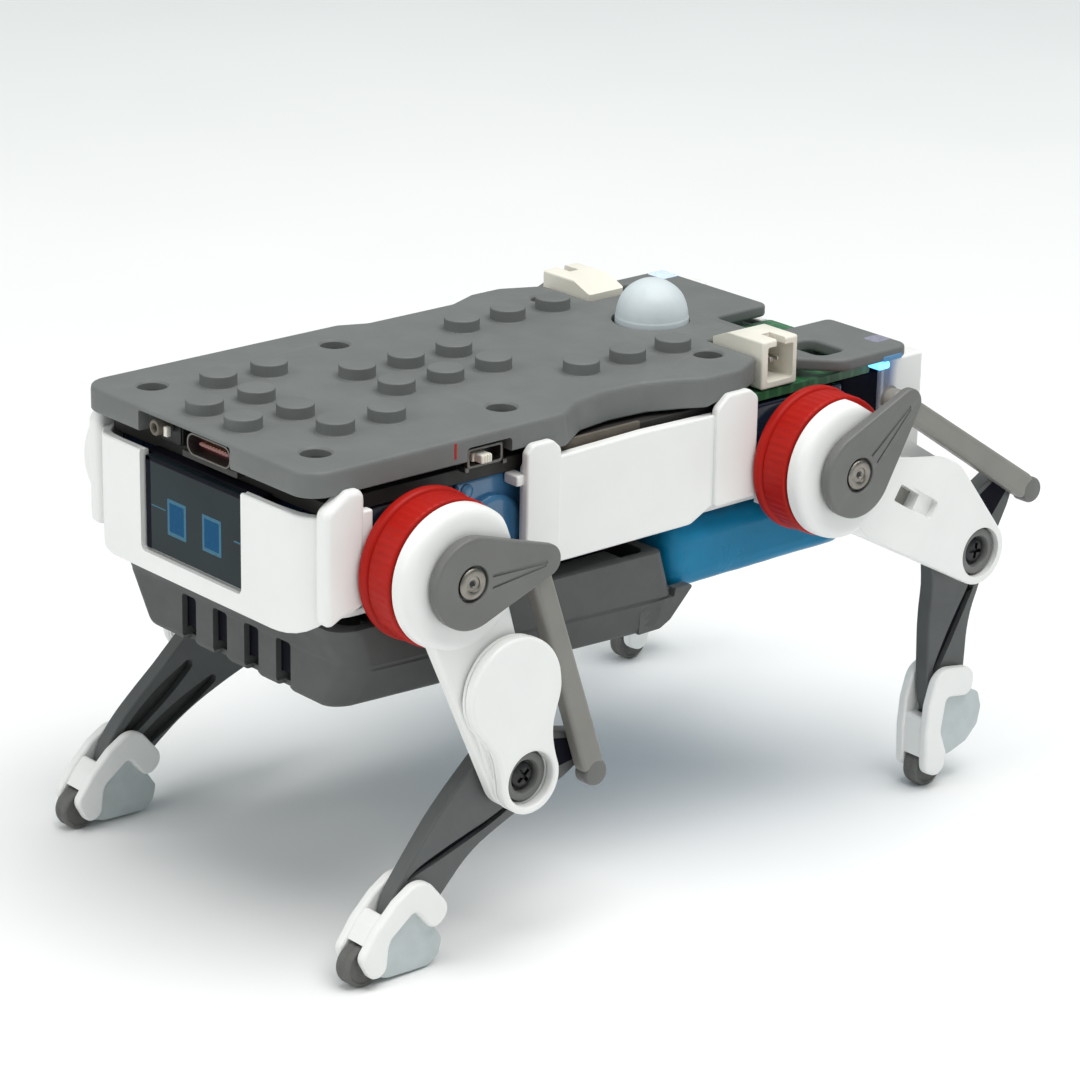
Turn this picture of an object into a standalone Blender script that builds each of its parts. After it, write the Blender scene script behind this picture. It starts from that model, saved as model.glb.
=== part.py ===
"""Four-legged desktop walking robot kit, at real size.

A white chassis carries a grey brick-stud deck, a display face, a control
board, eight servos, a belly tray and a battery pack.  Each of the four legs
is a thigh on a hip axis and a shank on a knee axis.  A crank on the hip axis
and a push rod parallel to the thigh turn the shank (a parallelogram).

Frame: +X is the robot's left, -Y its front, +Z up.  The floor is z = 0 and
the origin is under the middle of the bounding box.  Body pieces are written
in a deck frame: z = 0 on top of the deck, y = 0 on one row of studs.
Lengths below are millimetres and angles are degrees.
"""
import math

import bmesh
import bpy
from mathutils import Matrix

# ---------------------------------------------------------------- dimensions
MM = 0.001
STUD_PITCH = 8.0          # brick stud grid
STUD_R = 2.4
STUD_H = 1.7
DECK_HEIGHT = 64.3086     # deck top above the floor
DECK_ORIGIN_Y = -46.2248  # world y of the deck frame's origin

HIP_Z = -13.75            # hip axes, deck frame
HIP_FRONT_Y = 2.65
HIP_REAR_Y = 68.10
THIGH_LENGTH = 29.2       # hip axis to knee axis
TOE_SET_BACK = 1.3        # toe centre behind the shank's own line
LINK_R = 12.0             # crank pin radius and lever pin radius
LEVER_ANGLE = 49.0        # lever pin, from the shank's own +Y towards +Z
TOE_R = 2.7
THIGH_FRONT = 18.6        # rearward from straight down, at rest
THIGH_REAR = 56.3
SHANK_FRONT = 51.04       # forward from straight down, at rest
SHANK_REAR = 9.60

# layers of a leg, distances from the mid-plane
RING_X = (25.2, 30.8)
SHANK_X = (28.4, 30.8)
ARM_X = (31.1, 33.3)
BARREL_X = (31.1, 33.6)
PLATE_X = (33.7, 35.2)
PLATE_CAPPED_X = (33.7, 34.2)
CAP_X = (34.5, 35.9)
ROD_X = (31.1, 33.4)
CRANK_X = (33.9, 35.5)
FOOT_X = (27.4, 33.3)
SPLAY = 0.75              # the blade drifts outwards by this towards the foot

RING_R = 9.75
BARREL_R = 9.25
BARREL_FACE_R = 8.2
CRANK_HUB_R = 5.9
CRANK_TIP_R = 2.1
KNEE_R = 4.6
KNEE_BOSS_R = 3.2
SHAFT_R = 2.2
PIN_R = 0.8
PIN_EYE_R = 1.1
RUNNING = 0.3             # gap left between neighbouring pieces

BODY_HALF = 24.7
TRAY_TOP = -21.1
TRAY_CREASE = -26.5       # at the nose
TRAY_BOTTOM = -33.0
TRAY_INSET = 4.5
TRAY_DROP = 4.2           # of the crease, nose to rear
SERVO = (20.0, 19.6, 12.0)

# ------------------------------------------------------------------- scene
for old in list(bpy.data.objects):
    bpy.data.objects.remove(old, do_unlink=True)

parts = bpy.data.collections.new("walking_robot")
cutters = bpy.data.collections.new("cutters")
bpy.context.scene.collection.children.link(parts)
bpy.context.scene.collection.children.link(cutters)


def material(name, colour, roughness, metallic=0.0, alpha=1.0):
    made = bpy.data.materials.new(name)
    made.use_nodes = True
    shader = made.node_tree.nodes["Principled BSDF"]
    shader.inputs["Base Color"].default_value = (*colour, 1.0)
    shader.inputs["Roughness"].default_value = roughness
    shader.inputs["Metallic"].default_value = metallic
    shader.inputs["Alpha"].default_value = alpha
    return made


WHITE = material("white_plastic", (0.85, 0.85, 0.84), 0.4)
GREY = material("grey_plastic", (0.24, 0.245, 0.245), 0.5)
DARK = material("dark_grey_plastic", (0.07, 0.075, 0.08), 0.5)
LINK = material("link_grey_plastic", (0.19, 0.185, 0.18), 0.45)
RED = material("red_plastic", (0.58, 0.035, 0.03), 0.35)
BLUE = material("blue_servo_plastic", (0.02, 0.09, 0.35), 0.25)
WRAP = material("blue_shrink_film", (0.02, 0.21, 0.5), 0.35)
BOARD = material("green_board", (0.02, 0.16, 0.06), 0.4)
GLASS = material("display_glass", (0.03, 0.04, 0.045), 0.1)
STEEL = material("steel", (0.55, 0.55, 0.56), 0.3, 1.0)
CREAM = material("cream_plastic", (0.8, 0.72, 0.55), 0.45)
LENS = material("sensor_dome", (0.82, 0.83, 0.84), 0.35)
RUBBER = material("rubber", (0.03, 0.03, 0.032), 0.7)
BLACK = material("black_plastic", (0.02, 0.02, 0.02), 0.5)

# --------------------------------------------------------------- shape tools
# plane coordinates (a, b) and depth c, turned so that the depth lies on an axis
TURN = {
    "X": Matrix(((0, 0, 1, 0), (1, 0, 0, 0), (0, 1, 0, 0), (0, 0, 0, 1))),
    "Y": Matrix(((1, 0, 0, 0), (0, 0, -1, 0), (0, 1, 0, 0), (0, 0, 0, 1))),
    "Z": Matrix.Identity(4),
}
DEPTH_SIGN = {"X": 1, "Y": -1, "Z": 1}


def settle(bm):
    bmesh.ops.remove_doubles(bm, verts=bm.verts, dist=1e-3)
    bmesh.ops.recalc_face_normals(bm, faces=bm.faces)
    return bm


def mesh_from(bm, name):
    settle(bm)
    bm.transform(Matrix.Scale(MM, 4))
    mesh = bpy.data.meshes.new(name)
    bm.to_mesh(mesh)
    bm.free()
    mesh.shade_smooth()
    mesh.set_sharp_from_angle(angle=math.radians(32))
    return mesh


def evaluated(obj):
    """The evaluated mesh of a helper object, which is then removed."""
    bpy.context.scene.collection.objects.link(obj)
    graph = bpy.context.evaluated_depsgraph_get()
    mesh = bpy.data.meshes.new_from_object(obj.evaluated_get(graph))
    bm = bmesh.new()
    bm.from_mesh(mesh)
    bpy.data.meshes.remove(mesh)
    bpy.data.objects.remove(obj, do_unlink=True)
    return bm


def block(x, y, z):
    bm = bmesh.new()
    middle = Matrix.Translation([(lo + hi) / 2 for lo, hi in (x, y, z)])
    size = Matrix.Diagonal([hi - lo for lo, hi in (x, y, z)] + [1.0])
    bmesh.ops.create_cube(bm, size=1.0, matrix=middle @ size)
    return bm


def disc(axis, r, lo, hi, a=0.0, b=0.0, n=24, phase=5.0, r_hi=None):
    bm = bmesh.new()
    bmesh.ops.create_cone(
        bm, cap_ends=True, segments=n, radius1=r,
        radius2=r if r_hi is None else r_hi, depth=hi - lo,
    )
    bm.transform(Matrix.Rotation(math.radians(phase), 4, "Z"))
    depth = DEPTH_SIGN[axis] * (lo + hi) / 2
    bm.transform(TURN[axis] @ Matrix.Translation((a, b, depth)))
    return settle(bm)


def prism(axis, outline, lo, hi, holes=()):
    curve = bpy.data.curves.new("outline", "CURVE")
    curve.dimensions = "2D"
    curve.fill_mode = "BOTH"
    curve.extrude = (hi - lo) / 2
    for ring in (outline, *holes):
        spline = curve.splines.new("POLY")
        spline.points.add(len(ring) - 1)
        for point, (a, b) in zip(spline.points, ring):
            point.co = (a, b, 0.0, 1.0)
        spline.use_cyclic_u = True
    bm = evaluated(bpy.data.objects.new("outline", curve))
    bpy.data.curves.remove(curve)
    depth = DEPTH_SIGN[axis] * (lo + hi) / 2
    bm.transform(TURN[axis] @ Matrix.Translation((0, 0, depth)))
    return settle(bm)


def turned(axis, profile, n=32, closed=True):
    """A profile of (radius, height) turned about an axis."""
    mesh = bpy.data.meshes.new("profile")
    bm = bmesh.new()
    ring = [bm.verts.new((r, 0.0, h)) for r, h in profile]
    for first, second in zip(ring, ring[1:] + ring[:1] if closed else ring[1:]):
        bm.edges.new((first, second))
    bm.to_mesh(mesh)
    bm.free()
    obj = bpy.data.objects.new("profile", mesh)
    screw = obj.modifiers.new("Turn", "SCREW")
    screw.axis = "Z"
    screw.steps = screw.render_steps = n
    screw.use_merge_vertices = True
    screw.merge_threshold = 0.0001
    bm = evaluated(obj)
    bpy.data.meshes.remove(mesh)
    bm.transform(TURN[axis])
    return settle(bm)


def gather(*shapes):
    """Several separate shapes in one mesh, to cut or join in one go."""
    whole = bmesh.new()
    for bm in shapes:
        mesh = bpy.data.meshes.new("shape")
        bm.to_mesh(mesh)
        bm.free()
        whole.from_mesh(mesh)
        bpy.data.meshes.remove(mesh)
    return whole


def part(name, bm, mat, parent):
    obj = bpy.data.objects.new(name, mesh_from(bm, name))
    obj.data.materials.append(mat)
    parts.objects.link(obj)
    obj.parent = parent
    return obj


def boolean(obj, bm, operation):
    name = f"{obj.name}_{operation.lower()}_{len(obj.modifiers)}"
    tool = bpy.data.objects.new(name, mesh_from(bm, name))
    cutters.objects.link(tool)
    tool.parent = obj.parent
    tool.hide_render = True
    tool.display_type = "WIRE"
    made = obj.modifiers.new(operation.title(), "BOOLEAN")
    made.operation = operation
    made.object = tool
    made.solver = "EXACT"
    return obj


def cut(obj, *shapes):
    return boolean(obj, gather(*shapes), "DIFFERENCE")


def join(obj, *shapes):
    return boolean(obj, gather(*shapes), "UNION")


def axis_empty(name, y, z, angle=0.0):
    empty = bpy.data.objects.new(name, None)
    empty.location = (0.0, y * MM, z * MM)
    empty.rotation_euler = (math.radians(angle), 0.0, 0.0)
    parts.objects.link(empty)
    return empty


# ------------------------------------------------------------------ outlines
def arc(a, b, r, start, end, n):
    return [
        (a + r * math.cos(math.radians(start + (end - start) * i / n)),
         b + r * math.sin(math.radians(start + (end - start) * i / n)))
        for i in range(n + 1)
    ]


def circle(a, b, r, n=24):
    return arc(a, b, r, 0.0, 360.0 * (n - 1) / n, n - 1)


def hull(points):
    """Convex outline round a set of points, anticlockwise."""
    points = sorted(set(points))

    def chain(run):
        out = []
        for p in run:
            while len(out) > 1 and (
                (out[-1][0] - out[-2][0]) * (p[1] - out[-2][1])
                - (out[-1][1] - out[-2][1]) * (p[0] - out[-2][0])
            ) <= 1e-6:
                out.pop()
            out.append(p)
        return out[:-1]

    return chain(points) + chain(points[::-1])


def around(*circles, n=16):
    return hull([p for a, b, r in circles for p in circle(a, b, r, n)])


def rounded(corners, n=3):
    """An outline whose corners (a, b, radius) are rounded."""
    out = []
    count = len(corners)
    for i, (a, b, r) in enumerate(corners):
        if r <= 0:
            out.append((a, b))
            continue
        pa, pb, _ = corners[i - 1]
        na, nb, _ = corners[(i + 1) % count]
        ua, ub = pa - a, pb - b
        va, vb = na - a, nb - b
        lu, lv = math.hypot(ua, ub), math.hypot(va, vb)
        ua, ub, va, vb = ua / lu, ub / lu, va / lv, vb / lv
        half = math.acos(max(-1.0, min(1.0, ua * va + ub * vb))) / 2
        reach = r / math.tan(half)
        ma, mb = ua + va, ub + vb
        length = math.hypot(ma, mb)
        ca = a + ma / length * r / math.sin(half)
        cb = b + mb / length * r / math.sin(half)
        start = math.atan2(b + ub * reach - cb, a + ua * reach - ca)
        end = math.atan2(b + vb * reach - cb, a + va * reach - ca)
        turn = (end - start + math.pi) % (2 * math.pi) - math.pi
        for k in range(n + 1):
            angle = start + turn * k / n
            out.append((ca + r * math.cos(angle), cb + r * math.sin(angle)))
    return out


def box_outline(a, b, r=0.0, n=3):
    return rounded(
        [(a[0], b[0], r), (a[1], b[0], r), (a[1], b[1], r), (a[0], b[1], r)], n
    )


def stroke(path, steps=2):
    """Outline of a bar along a smooth path of (a, b, half width), round at both ends."""
    dense = []
    for i in range(len(path) - 1):
        p0, p1 = path[max(i - 1, 0)], path[i]
        p2, p3 = path[i + 1], path[min(i + 2, len(path) - 1)]
        for k in range(steps):
            t = k / steps
            dense.append(tuple(
                0.5 * (2 * q1 + (q2 - q0) * t + (2 * q0 - 5 * q1 + 4 * q2 - q3) * t * t
                       + (3 * q1 - q0 - 3 * q2 + q3) * t ** 3)
                for q0, q1, q2, q3 in zip(p0, p1, p2, p3)
            ))
    dense.append(path[-1])
    left, right = [], []
    for i, (a, b, w) in enumerate(dense):
        a0, b0, _ = dense[max(i - 1, 0)]
        a1, b1, _ = dense[min(i + 1, len(dense) - 1)]
        length = math.hypot(a1 - a0, b1 - b0)
        na, nb = -(b1 - b0) / length, (a1 - a0) / length
        left.append((a + na * w, b + nb * w))
        right.append((a - na * w, b - nb * w))

    def end_cap(index, other):
        a, b, w = dense[index]
        a0, b0, _ = dense[other]
        heading = math.degrees(math.atan2(b - b0, a - a0))
        return arc(a, b, w, heading - 90, heading + 90, 4)[1:-1]

    return right + end_cap(-1, -2) + left[::-1] + end_cap(0, 1)


# ---------------------------------------------------------------------- body
body = axis_empty("deck_frame", DECK_ORIGIN_Y, DECK_HEIGHT)

# deck with its skirt, stud grid, tail plate and cut-outs
deck_outline = rounded([
    (-23.75, -13.1, 3.5), (23.75, -13.1, 3.5), (23.75, 28.0, 2.0), (18.3, 33.5, 2.0),
    (18.3, 43.5, 2.0), (24.0, 51.5, 2.0), (24.0, 56.5, 2.0), (21.2, 62.4, 1.0),
    (11.6, 62.4, 0.5), (11.6, 69.5, 0.5), (-11.6, 69.5, 0.5), (-11.6, 62.4, 0.5),
    (-21.2, 62.4, 1.0), (-24.0, 56.5, 2.0), (-24.0, 51.5, 2.0), (-22.0, 46.5, 2.0),
    (-22.0, 32.0, 2.0), (-23.75, 28.0, 2.0),
])
tail_outline = rounded([
    (-23.0, 70.2, 2.0), (-11.0, 70.6, 0.0), (-11.0, 67.5, 0.0), (11.0, 67.6, 0.0),
    (11.0, 70.4, 0.0), (19.5, 70.1, 2.0), (24.3, 75.0, 2.0), (24.3, 88.0, 1.5),
    (9.0, 88.0, 1.0), (9.0, 76.0, 1.0), (-1.0, 76.0, 1.0), (-1.0, 88.0, 1.0),
    (-23.0, 88.0, 1.5),
])
under_outline = [
    (-22.2, -11.5), (22.2, -11.5), (22.2, 27.3), (16.8, 32.8), (16.8, 44.2), (22.4, 52.0),
    (22.4, 56.0), (20.0, 60.8), (-20.0, 60.8), (-22.4, 56.0), (-22.4, 52.0), (-20.4, 47.0),
    (-20.4, 32.0), (-22.2, 27.5),
]
stud_spots = [
    (x * STUD_PITCH / 2, row * STUD_PITCH)
    for x, rows in ((3, (0, 1, 5, 6, 7)), (-3, (0, 1, 5, 6, 7)),
                    (1, (-1, 0, 2, 3, 4)), (-1, (-1, 0, 2, 3, 4)))
    for row in rows
]
screw_spots = [
    (side * x, y) for x, y in ((16.85, -6.8), (16.9, 22.4), (16.3, 58.3)) for side in (1, -1)
]
top_cover = part("top_cover", prism("Z", deck_outline, -3.25, 0.0), GREY, body)
join(top_cover, prism("Z", tail_outline, -4.0, -2.2))
cut(top_cover, prism("Z", under_outline, -5.5, -1.2))
join(top_cover, *[disc("Z", STUD_R, -0.6, STUD_H, x, y, 12) for x, y in stud_spots])
cut(
    top_cover,
    *[disc("Z", 1.9, -2.0, 1.0, x, y, 12) for x, y in screw_spots],
    disc("Z", 5.3, -6.0, 2.0, 0.0, 63.0, 24),
    block((-11.0, 8.4), (-15.0, -10.0), (-4.2, -0.5)),
    block((21.0, 25.5), (11.2, 18.4), (-4.0, -1.45)),
    prism("Z", box_outline((14.2, 21.0), (74.4, 79.2), 0.8), -5.0, 0.0),
    prism("Z", box_outline((-1.0, 2.6), (71.4, 73.8), 0.6), -5.0, 0.0),
)
cut(top_cover, block((-1.5, 8.35), (-10.5, -5.4), (-4.3, -0.53)))

# white chassis: floor, curved face with the display window, side walls, posts
face_outer = rounded([
    (-24.8, -4.2, 0.0), (-24.8, -13.3, 8.8), (24.8, -13.3, 8.8), (24.8, -4.2, 0.0),
    (23.4, -4.3, 0.0), (23.4, -11.9, 7.4), (-23.4, -11.9, 7.4), (-23.4, -4.3, 0.0),
], 5)
hips = (HIP_FRONT_Y, HIP_REAR_Y)
floor_outline = rounded([
    (-23.4, -12.6, 6.0), (23.4, -12.6, 6.0), (23.4, 87.8, 1.0), (-23.4, 87.8, 1.0),
], 4)
chassis = part("chassis", prism("Z", floor_outline, -19.6, -18.7), WHITE, body)
join(chassis, prism("Z", face_outer, -21.4, -5.6))


def mirrored_x(lo, hi, side):
    return (lo, hi) if side > 0 else (-hi, -lo)


for side in (1, -1):
    wall = mirrored_x(22.8, 24.3, side)
    proud = mirrored_x(24.05, 24.9, side)
    join(
        chassis,
        # bearing plates under the hip axes
        *[prism("X", hull(circle(y, HIP_Z, 6.0, 16) + [(y - 7, -19.4), (y + 7, -19.4)]), *wall)
          for y in hips],
        # side wall between the leg bays
        prism("X", rounded([
            (20.4, -19.4, 0), (49.4, -19.4, 0), (51.8, -17.6, 0), (59.0, -17.6, 0),
            (59.0, -5.2, 1.0), (20.4, -5.2, 1.0)]), *wall),
        # rear corner post
        block(mirrored_x(19.8, 22.8, side), (86.7, 92.6), (-19.5, -4.4)),
    )
    join(
        chassis,
        # pilaster behind the face, and the two posts of the side wall
        prism("X", rounded([(-11.6, -18.0, 1.5), (-5.4, -18.0, 0), (-5.4, -2.7, 1.6), (-11.6, -2.7, 2.6)]), *proud),
        prism("X", rounded([(20.0, -19.0, 0), (25.6, -19.0, 0), (25.6, -2.7, 1.8), (20.0, -2.7, 1.8)]), *proud),
        prism("X", rounded([(52.2, -17.7, 0), (59.5, -17.7, 0), (59.5, -2.7, 1.8), (52.2, -2.7, 1.8)]), *proud),
    )
join(chassis, block((-21.0, 21.0), (86.4, 87.6), (-19.4, -5.0)))
cut(
    chassis,
    prism("Y", box_outline((-10.6, 10.4), (-18.8, -2.0), 0.8), -15.0, -10.0),
    *[disc("X", 2.6, -30.0, 30.0, y, HIP_Z, 20) for y in hips],
)
# room for the display module's foot in the floor
cut(chassis, block((-12.1, 12.1), (-11.85, -9.2), (-19.2, -10.0)))
# the face's lower edge steps up at both ends
cut(chassis, *[block(mirrored_x(22.0, 26.0, side), (-7.0, -3.0), (-23.0, -19.55)) for side in (1, -1)])

# control board and what stands on it
board_outline = rounded([
    (-21.6, -9.0, 1.0), (21.6, -9.0, 1.0), (21.6, 83.9, 1.0), (-21.6, 83.9, 1.0)])
part("main_board", prism("Z", board_outline, -6.1, -4.9), BOARD, body)

usb_socket = part(
    "usb_socket", prism("Y", box_outline((-1.05, 7.9), (-4.6, -0.85), 1.2, 4), -12.9, -5.8), STEEL, body)
cut(usb_socket, prism("Y", box_outline((-0.7, 7.55), (-3.55, -1.2), 1.0, 4), -14.0, -7.2))

power_switch = part("power_switch", block((16.8, 22.9), (11.9, 17.7), (-4.6, -2.0)), STEEL, body)
cut(power_switch, block((20.9, 23.5), (12.5, 17.1), (-4.15, -2.45)))
power_slider = part("power_slider", block((21.3, 22.7), (12.9, 15.0), (-3.8, -2.8)), CREAM, body)
join(power_slider, block((22.4, 24.1), (13.4, 14.5), (-3.7, -2.9)))

part("tact_switch", block((-10.2, -5.8), (-10.1, -6.6), (-4.6, -1.55)), BLACK, body)
part("push_button", disc("Y", 1.05, -12.9, -10.7, -8.0, -2.15, 16), CREAM, body)

dome_profile = [(0.0, 5.7)] + [
    (4.9 * math.sin(math.radians(a)), 0.8 + 4.9 * math.cos(math.radians(a)))
    for a in range(15, 91, 15)
] + [(5.0, 0.7), (5.0, -4.6), (0.0, -4.6)]
dome = turned("Z", dome_profile, 24, closed=False)
dome.transform(Matrix.Translation((0.0, 63.0, 0.0)))
part("dome_sensor", dome, LENS, body)

for name, side in (("left", 1), ("right", -1)):
    connector = part(
        f"connector_{name}", block(mirrored_x(12.2, 22.0, side), (62.8, 69.2), (-4.6, 2.0)), CREAM, body)
    cut(connector, block(mirrored_x(15.5, 24.0, side), (63.7, 68.3), (-3.7, 1.1)))

# display: a glass slab in the window on a wider module behind the face
display = part("display_module", block((-11.8, 11.8), (-11.5, -9.6), (-19.0, -6.0)), GLASS, body)
join(display, block((-10.2, 10.0), (-12.7, -11.2), (-18.4, -6.2)))

# servos lie across the body, in two rows
for end, crank_y, thigh_y in (("front", (-8.5, 11.1), (11.5, 31.1)), ("rear", (58.9, 78.5), (38.9, 58.5))):
    shaft_y = HIP_FRONT_Y if end == "front" else HIP_REAR_Y
    other_y = thigh_y[0] + 5.4 if end == "front" else thigh_y[1] - 5.4
    for name, side in (("left", 1), ("right", -1)):
        for kind, span, boss_y in (("crank", crank_y, shaft_y), ("thigh", thigh_y, other_y)):
            servo = part(
                f"{kind}_servo_{end}_{name}",
                block(mirrored_x(1.0, 21.4, side), span, (-18.6, -6.6)), BLUE, body)
            join(servo, disc("X", 4.6, *mirrored_x(21.0, 22.5, side), boss_y, HIP_Z, 20))

# belly tray: a tapered tub with vent slots in its nose, and the battery behind it
TRAY_Y = (-6.6, 45.6)


def tub(inset, top, bottom):
    """Upright walls down to a crease that drops rearwards, then sides that lean in."""
    half = 24.0 - inset
    front, rear = TRAY_Y[0] + inset, TRAY_Y[1] - inset
    bm = prism("Z", rounded([
        (-half, front, 4.0 - inset), (half, front, 4.0 - inset),
        (half, rear, 3.0), (-half, rear, 3.0)], 6), bottom, top)
    geometry = list(bm.verts) + list(bm.edges) + list(bm.faces)
    bmesh.ops.bisect_plane(bm, geom=geometry, plane_co=(0, 0, TRAY_CREASE), plane_no=(0, 0, 1))
    for v in bm.verts:
        along = (v.co.y - TRAY_Y[0]) / (TRAY_Y[1] - TRAY_Y[0])
        crease = TRAY_CREASE - TRAY_DROP * along
        lean = TRAY_INSET * (1 - 0.9 * along) * (crease - bottom) / (crease - TRAY_BOTTOM)
        if v.co.z < bottom + 0.01:
            v.co.x *= 1 - lean / half
        elif v.co.z < top - 0.01:
            v.co.z = crease
    return bm


tray = part("bottom_tray", tub(0.0, TRAY_TOP, TRAY_BOTTOM), DARK, body)
cut(tray, tub(1.7, TRAY_TOP + 1.0, TRAY_BOTTOM + 1.6))
cut(
    tray,
    *[prism("Y", box_outline((x - 1.1, x + 1.1), (-32.0, -26.6), 1.0), -9.0, -3.0)
      for x in (-9.9, -3.3, 3.3, 9.9)],
)
# a ledge behind the tub carries the battery; four bosses reach the chassis floor
join(
    tray,
    prism("X", [(44.5, -33.0), (46.2, -33.0), (50.4, -30.7), (50.4, -30.0), (44.5, -30.0)], -21.4, 21.4),
    *[disc("Z", 2.4, -32.2, -19.7, x, y, 16) for x in (-14.0, 14.0) for y in (1.0, 32.0)],
)
battery = part("battery_pack", block((-22.6, 22.6), (46.6, 80.0), (-29.6, -20.0)), WRAP, body)
edge = battery.modifiers.new("Round", "BEVEL")
edge.width = 2.2 * MM
edge.segments = 3
edge.limit_method = "ANGLE"


# ---------------------------------------------------------------------- legs
def splay(bm, side):
    """Lets the blade drift outwards between the knee and the foot."""
    for v in bm.verts:
        t = max(0.0, min(1.0, (-v.co.z - 8.0) / 12.0))
        v.co.x += side * SPLAY * t * t * (3 - 2 * t)
    return bm


def leg(name, side, hip_y, thigh_angle, shank_angle, capped):
    def layer(span):
        return mirrored_x(*span, side)

    def turned_leg(profile, n=24, closed=True):
        return turned("X", [(r, side * h) for r, h in profile], n, closed)

    rad = math.radians
    knee_y = hip_y + THIGH_LENGTH * math.sin(rad(thigh_angle))
    knee_z = HIP_Z - THIGH_LENGTH * math.cos(rad(thigh_angle))
    crank_angle = LEVER_ANGLE - shank_angle
    pin_y = hip_y + LINK_R * math.cos(rad(crank_angle))
    pin_z = HIP_Z + LINK_R * math.sin(rad(crank_angle))

    def joint_empty(label, y, z, angle):
        return axis_empty(f"{label}_{name}", y + DECK_ORIGIN_Y, z + DECK_HEIGHT, angle)

    hip = joint_empty("hip_axis", hip_y, HIP_Z, thigh_angle)
    crank_axis = joint_empty("crank_axis", hip_y, HIP_Z, crank_angle)
    rod_axis = joint_empty("rod_axis", pin_y, pin_z, thigh_angle)
    knee = joint_empty("knee_axis", knee_y, knee_z, -shank_angle)

    # red drive ring with an inner lip
    low, high = RING_X
    part(f"hip_ring_{name}", turned_leg([
        (2.6, high), (9.5, high), (9.5, low + 1.5), (RING_R, low + 1.2), (RING_R, low), (2.6, low)]), RED, hip)

    # white thigh: hip barrel, arm, and the outer figure-eight plate
    low, high = BARREL_X
    thigh = part(f"thigh_{name}", turned_leg([
        (0.0, high), (BARREL_FACE_R, high), (BARREL_R, high - 1.0), (BARREL_R, low), (0.0, low)],
        closed=False), WHITE, hip)
    cut(thigh, block(layer((30.0, 35.0)), (8.1, 12.0), (-12.0, 12.0)))
    arm = around((-0.6, -3.0, 6.4), (-0.4, -17.0, 5.2), (0.0, -THIGH_LENGTH, KNEE_R - 0.1))
    join(thigh, prism("X", arm, *layer((ARM_X[0] + 0.1, ARM_X[1]))))
    join(thigh, prism("X", around((0.1, -17.0, 4.8), (0.0, -THIGH_LENGTH, KNEE_R - 0.3)), *layer((32.6, 34.0))))
    plate = around((1.5, -17.0, 7.1), (0.0, -THIGH_LENGTH, KNEE_R))
    join(thigh, prism("X", plate, *layer(PLATE_CAPPED_X if capped else PLATE_X)))
    cut(thigh, disc("X", 2.6, *layer((30.0, 37.0)), 0.0, 0.0, 16),
        disc("X", KNEE_BOSS_R + RUNNING, *layer((30.0, 37.0)), 0.0, -THIGH_LENGTH, 16))
    if capped:
        part(f"thigh_cap_{name}", prism(
            "X", around((1.5, -17.0, 7.2), (0.0, -THIGH_LENGTH, KNEE_R)), *layer(CAP_X),
            holes=[circle(0.0, -THIGH_LENGTH, KNEE_BOSS_R + 0.4, 16)]), WHITE, hip)

    # crank with its through shaft and link pin, and the screw that holds it
    crank = part(f"crank_{name}", prism(
        "X", around((0.0, 0.0, CRANK_HUB_R), (LINK_R, 0.0, CRANK_TIP_R)), *layer(CRANK_X)), LINK, crank_axis)
    join(crank, disc("X", SHAFT_R, *layer((23.4, 34.4)), 0.0, 0.0, 16),
         disc("X", PIN_R, *layer((31.3, 34.4)), LINK_R, 0.0, 12))
    cut(crank, disc("X", 2.35, *layer((34.6, 37.0)), 0.0, 0.0, 16))
    cut(crank, disc("X", 0.9, *layer((30.0, 37.0)), 0.0, 0.0, 12))
    screw = part(f"crank_screw_{name}", disc("X", 2.0, *layer((34.9, 35.5)), 0.0, 0.0, 16), STEEL, crank_axis)
    join(screw, disc("X", 0.6, *layer((30.4, 35.1)), 0.0, 0.0, 12))

    # push rod between the crank pin and the lever pin
    rod = part(f"push_rod_{name}", prism("X", around(
        (0.0, 0.0, 1.55), (0.0, -THIGH_LENGTH, 1.8), (0.0, -THIGH_LENGTH - 3.3, 1.7), n=16), *layer(ROD_X)),
        LINK, rod_axis)
    cut(rod, *[disc("X", PIN_EYE_R, *layer((30.0, 35.0)), 0.0, z, 12) for z in (0.0, -THIGH_LENGTH)])

    # dark bell-crank shank: lever, knee hub, blade; its boss runs through the thigh
    lever_y = LINK_R * math.cos(rad(LEVER_ANGLE))
    lever_z = LINK_R * math.sin(rad(LEVER_ANGLE))
    blade = (
        arc(lever_y, lever_z, 2.2, -35.0, 139.0, 7)
        + arc(0.0, 0.0, KNEE_R, 128.0, 184.0, 4)
        + [(-4.3, -3.0), (-4.1, -6.2), (-4.0, -9.2), (-3.8, -12.1), (-3.5, -15.0), (-3.1, -18.0), (-2.5, -20.8),
           (-0.8, -24.1), (0.8, -24.2), (3.5, -21.6), (4.2, -18.5), (4.2, -15.5), (4.2, -12.5), (4.7, -8.8),
           (6.1, -3.9), (7.8, 1.0), (9.3, 5.5)]
    )
    shank = part(f"shank_{name}", splay(prism("X", blade, *layer(SHANK_X)), side), DARK, knee)
    join(shank, disc("X", KNEE_BOSS_R, *layer((30.4, 34.6)), 0.0, 0.0, 16),
         disc("X", PIN_R, *layer((30.4, 33.2)), lever_y, lever_z, 12))
    cut(shank, disc("X", 2.1, *layer((33.3, 36.0)), 0.0, 0.0, 12))
    cut(shank, disc("X", 0.8, *layer((31.0, 36.0)), 0.0, 0.0, 12))
    knee_screw = part(f"knee_screw_{name}", disc("X", 1.75, *layer((33.6, 34.4)), 0.0, 0.0, 12), STEEL, knee)
    join(knee_screw, disc("X", 0.5, *layer((31.3, 33.8)), 0.0, 0.0, 10))

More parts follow.
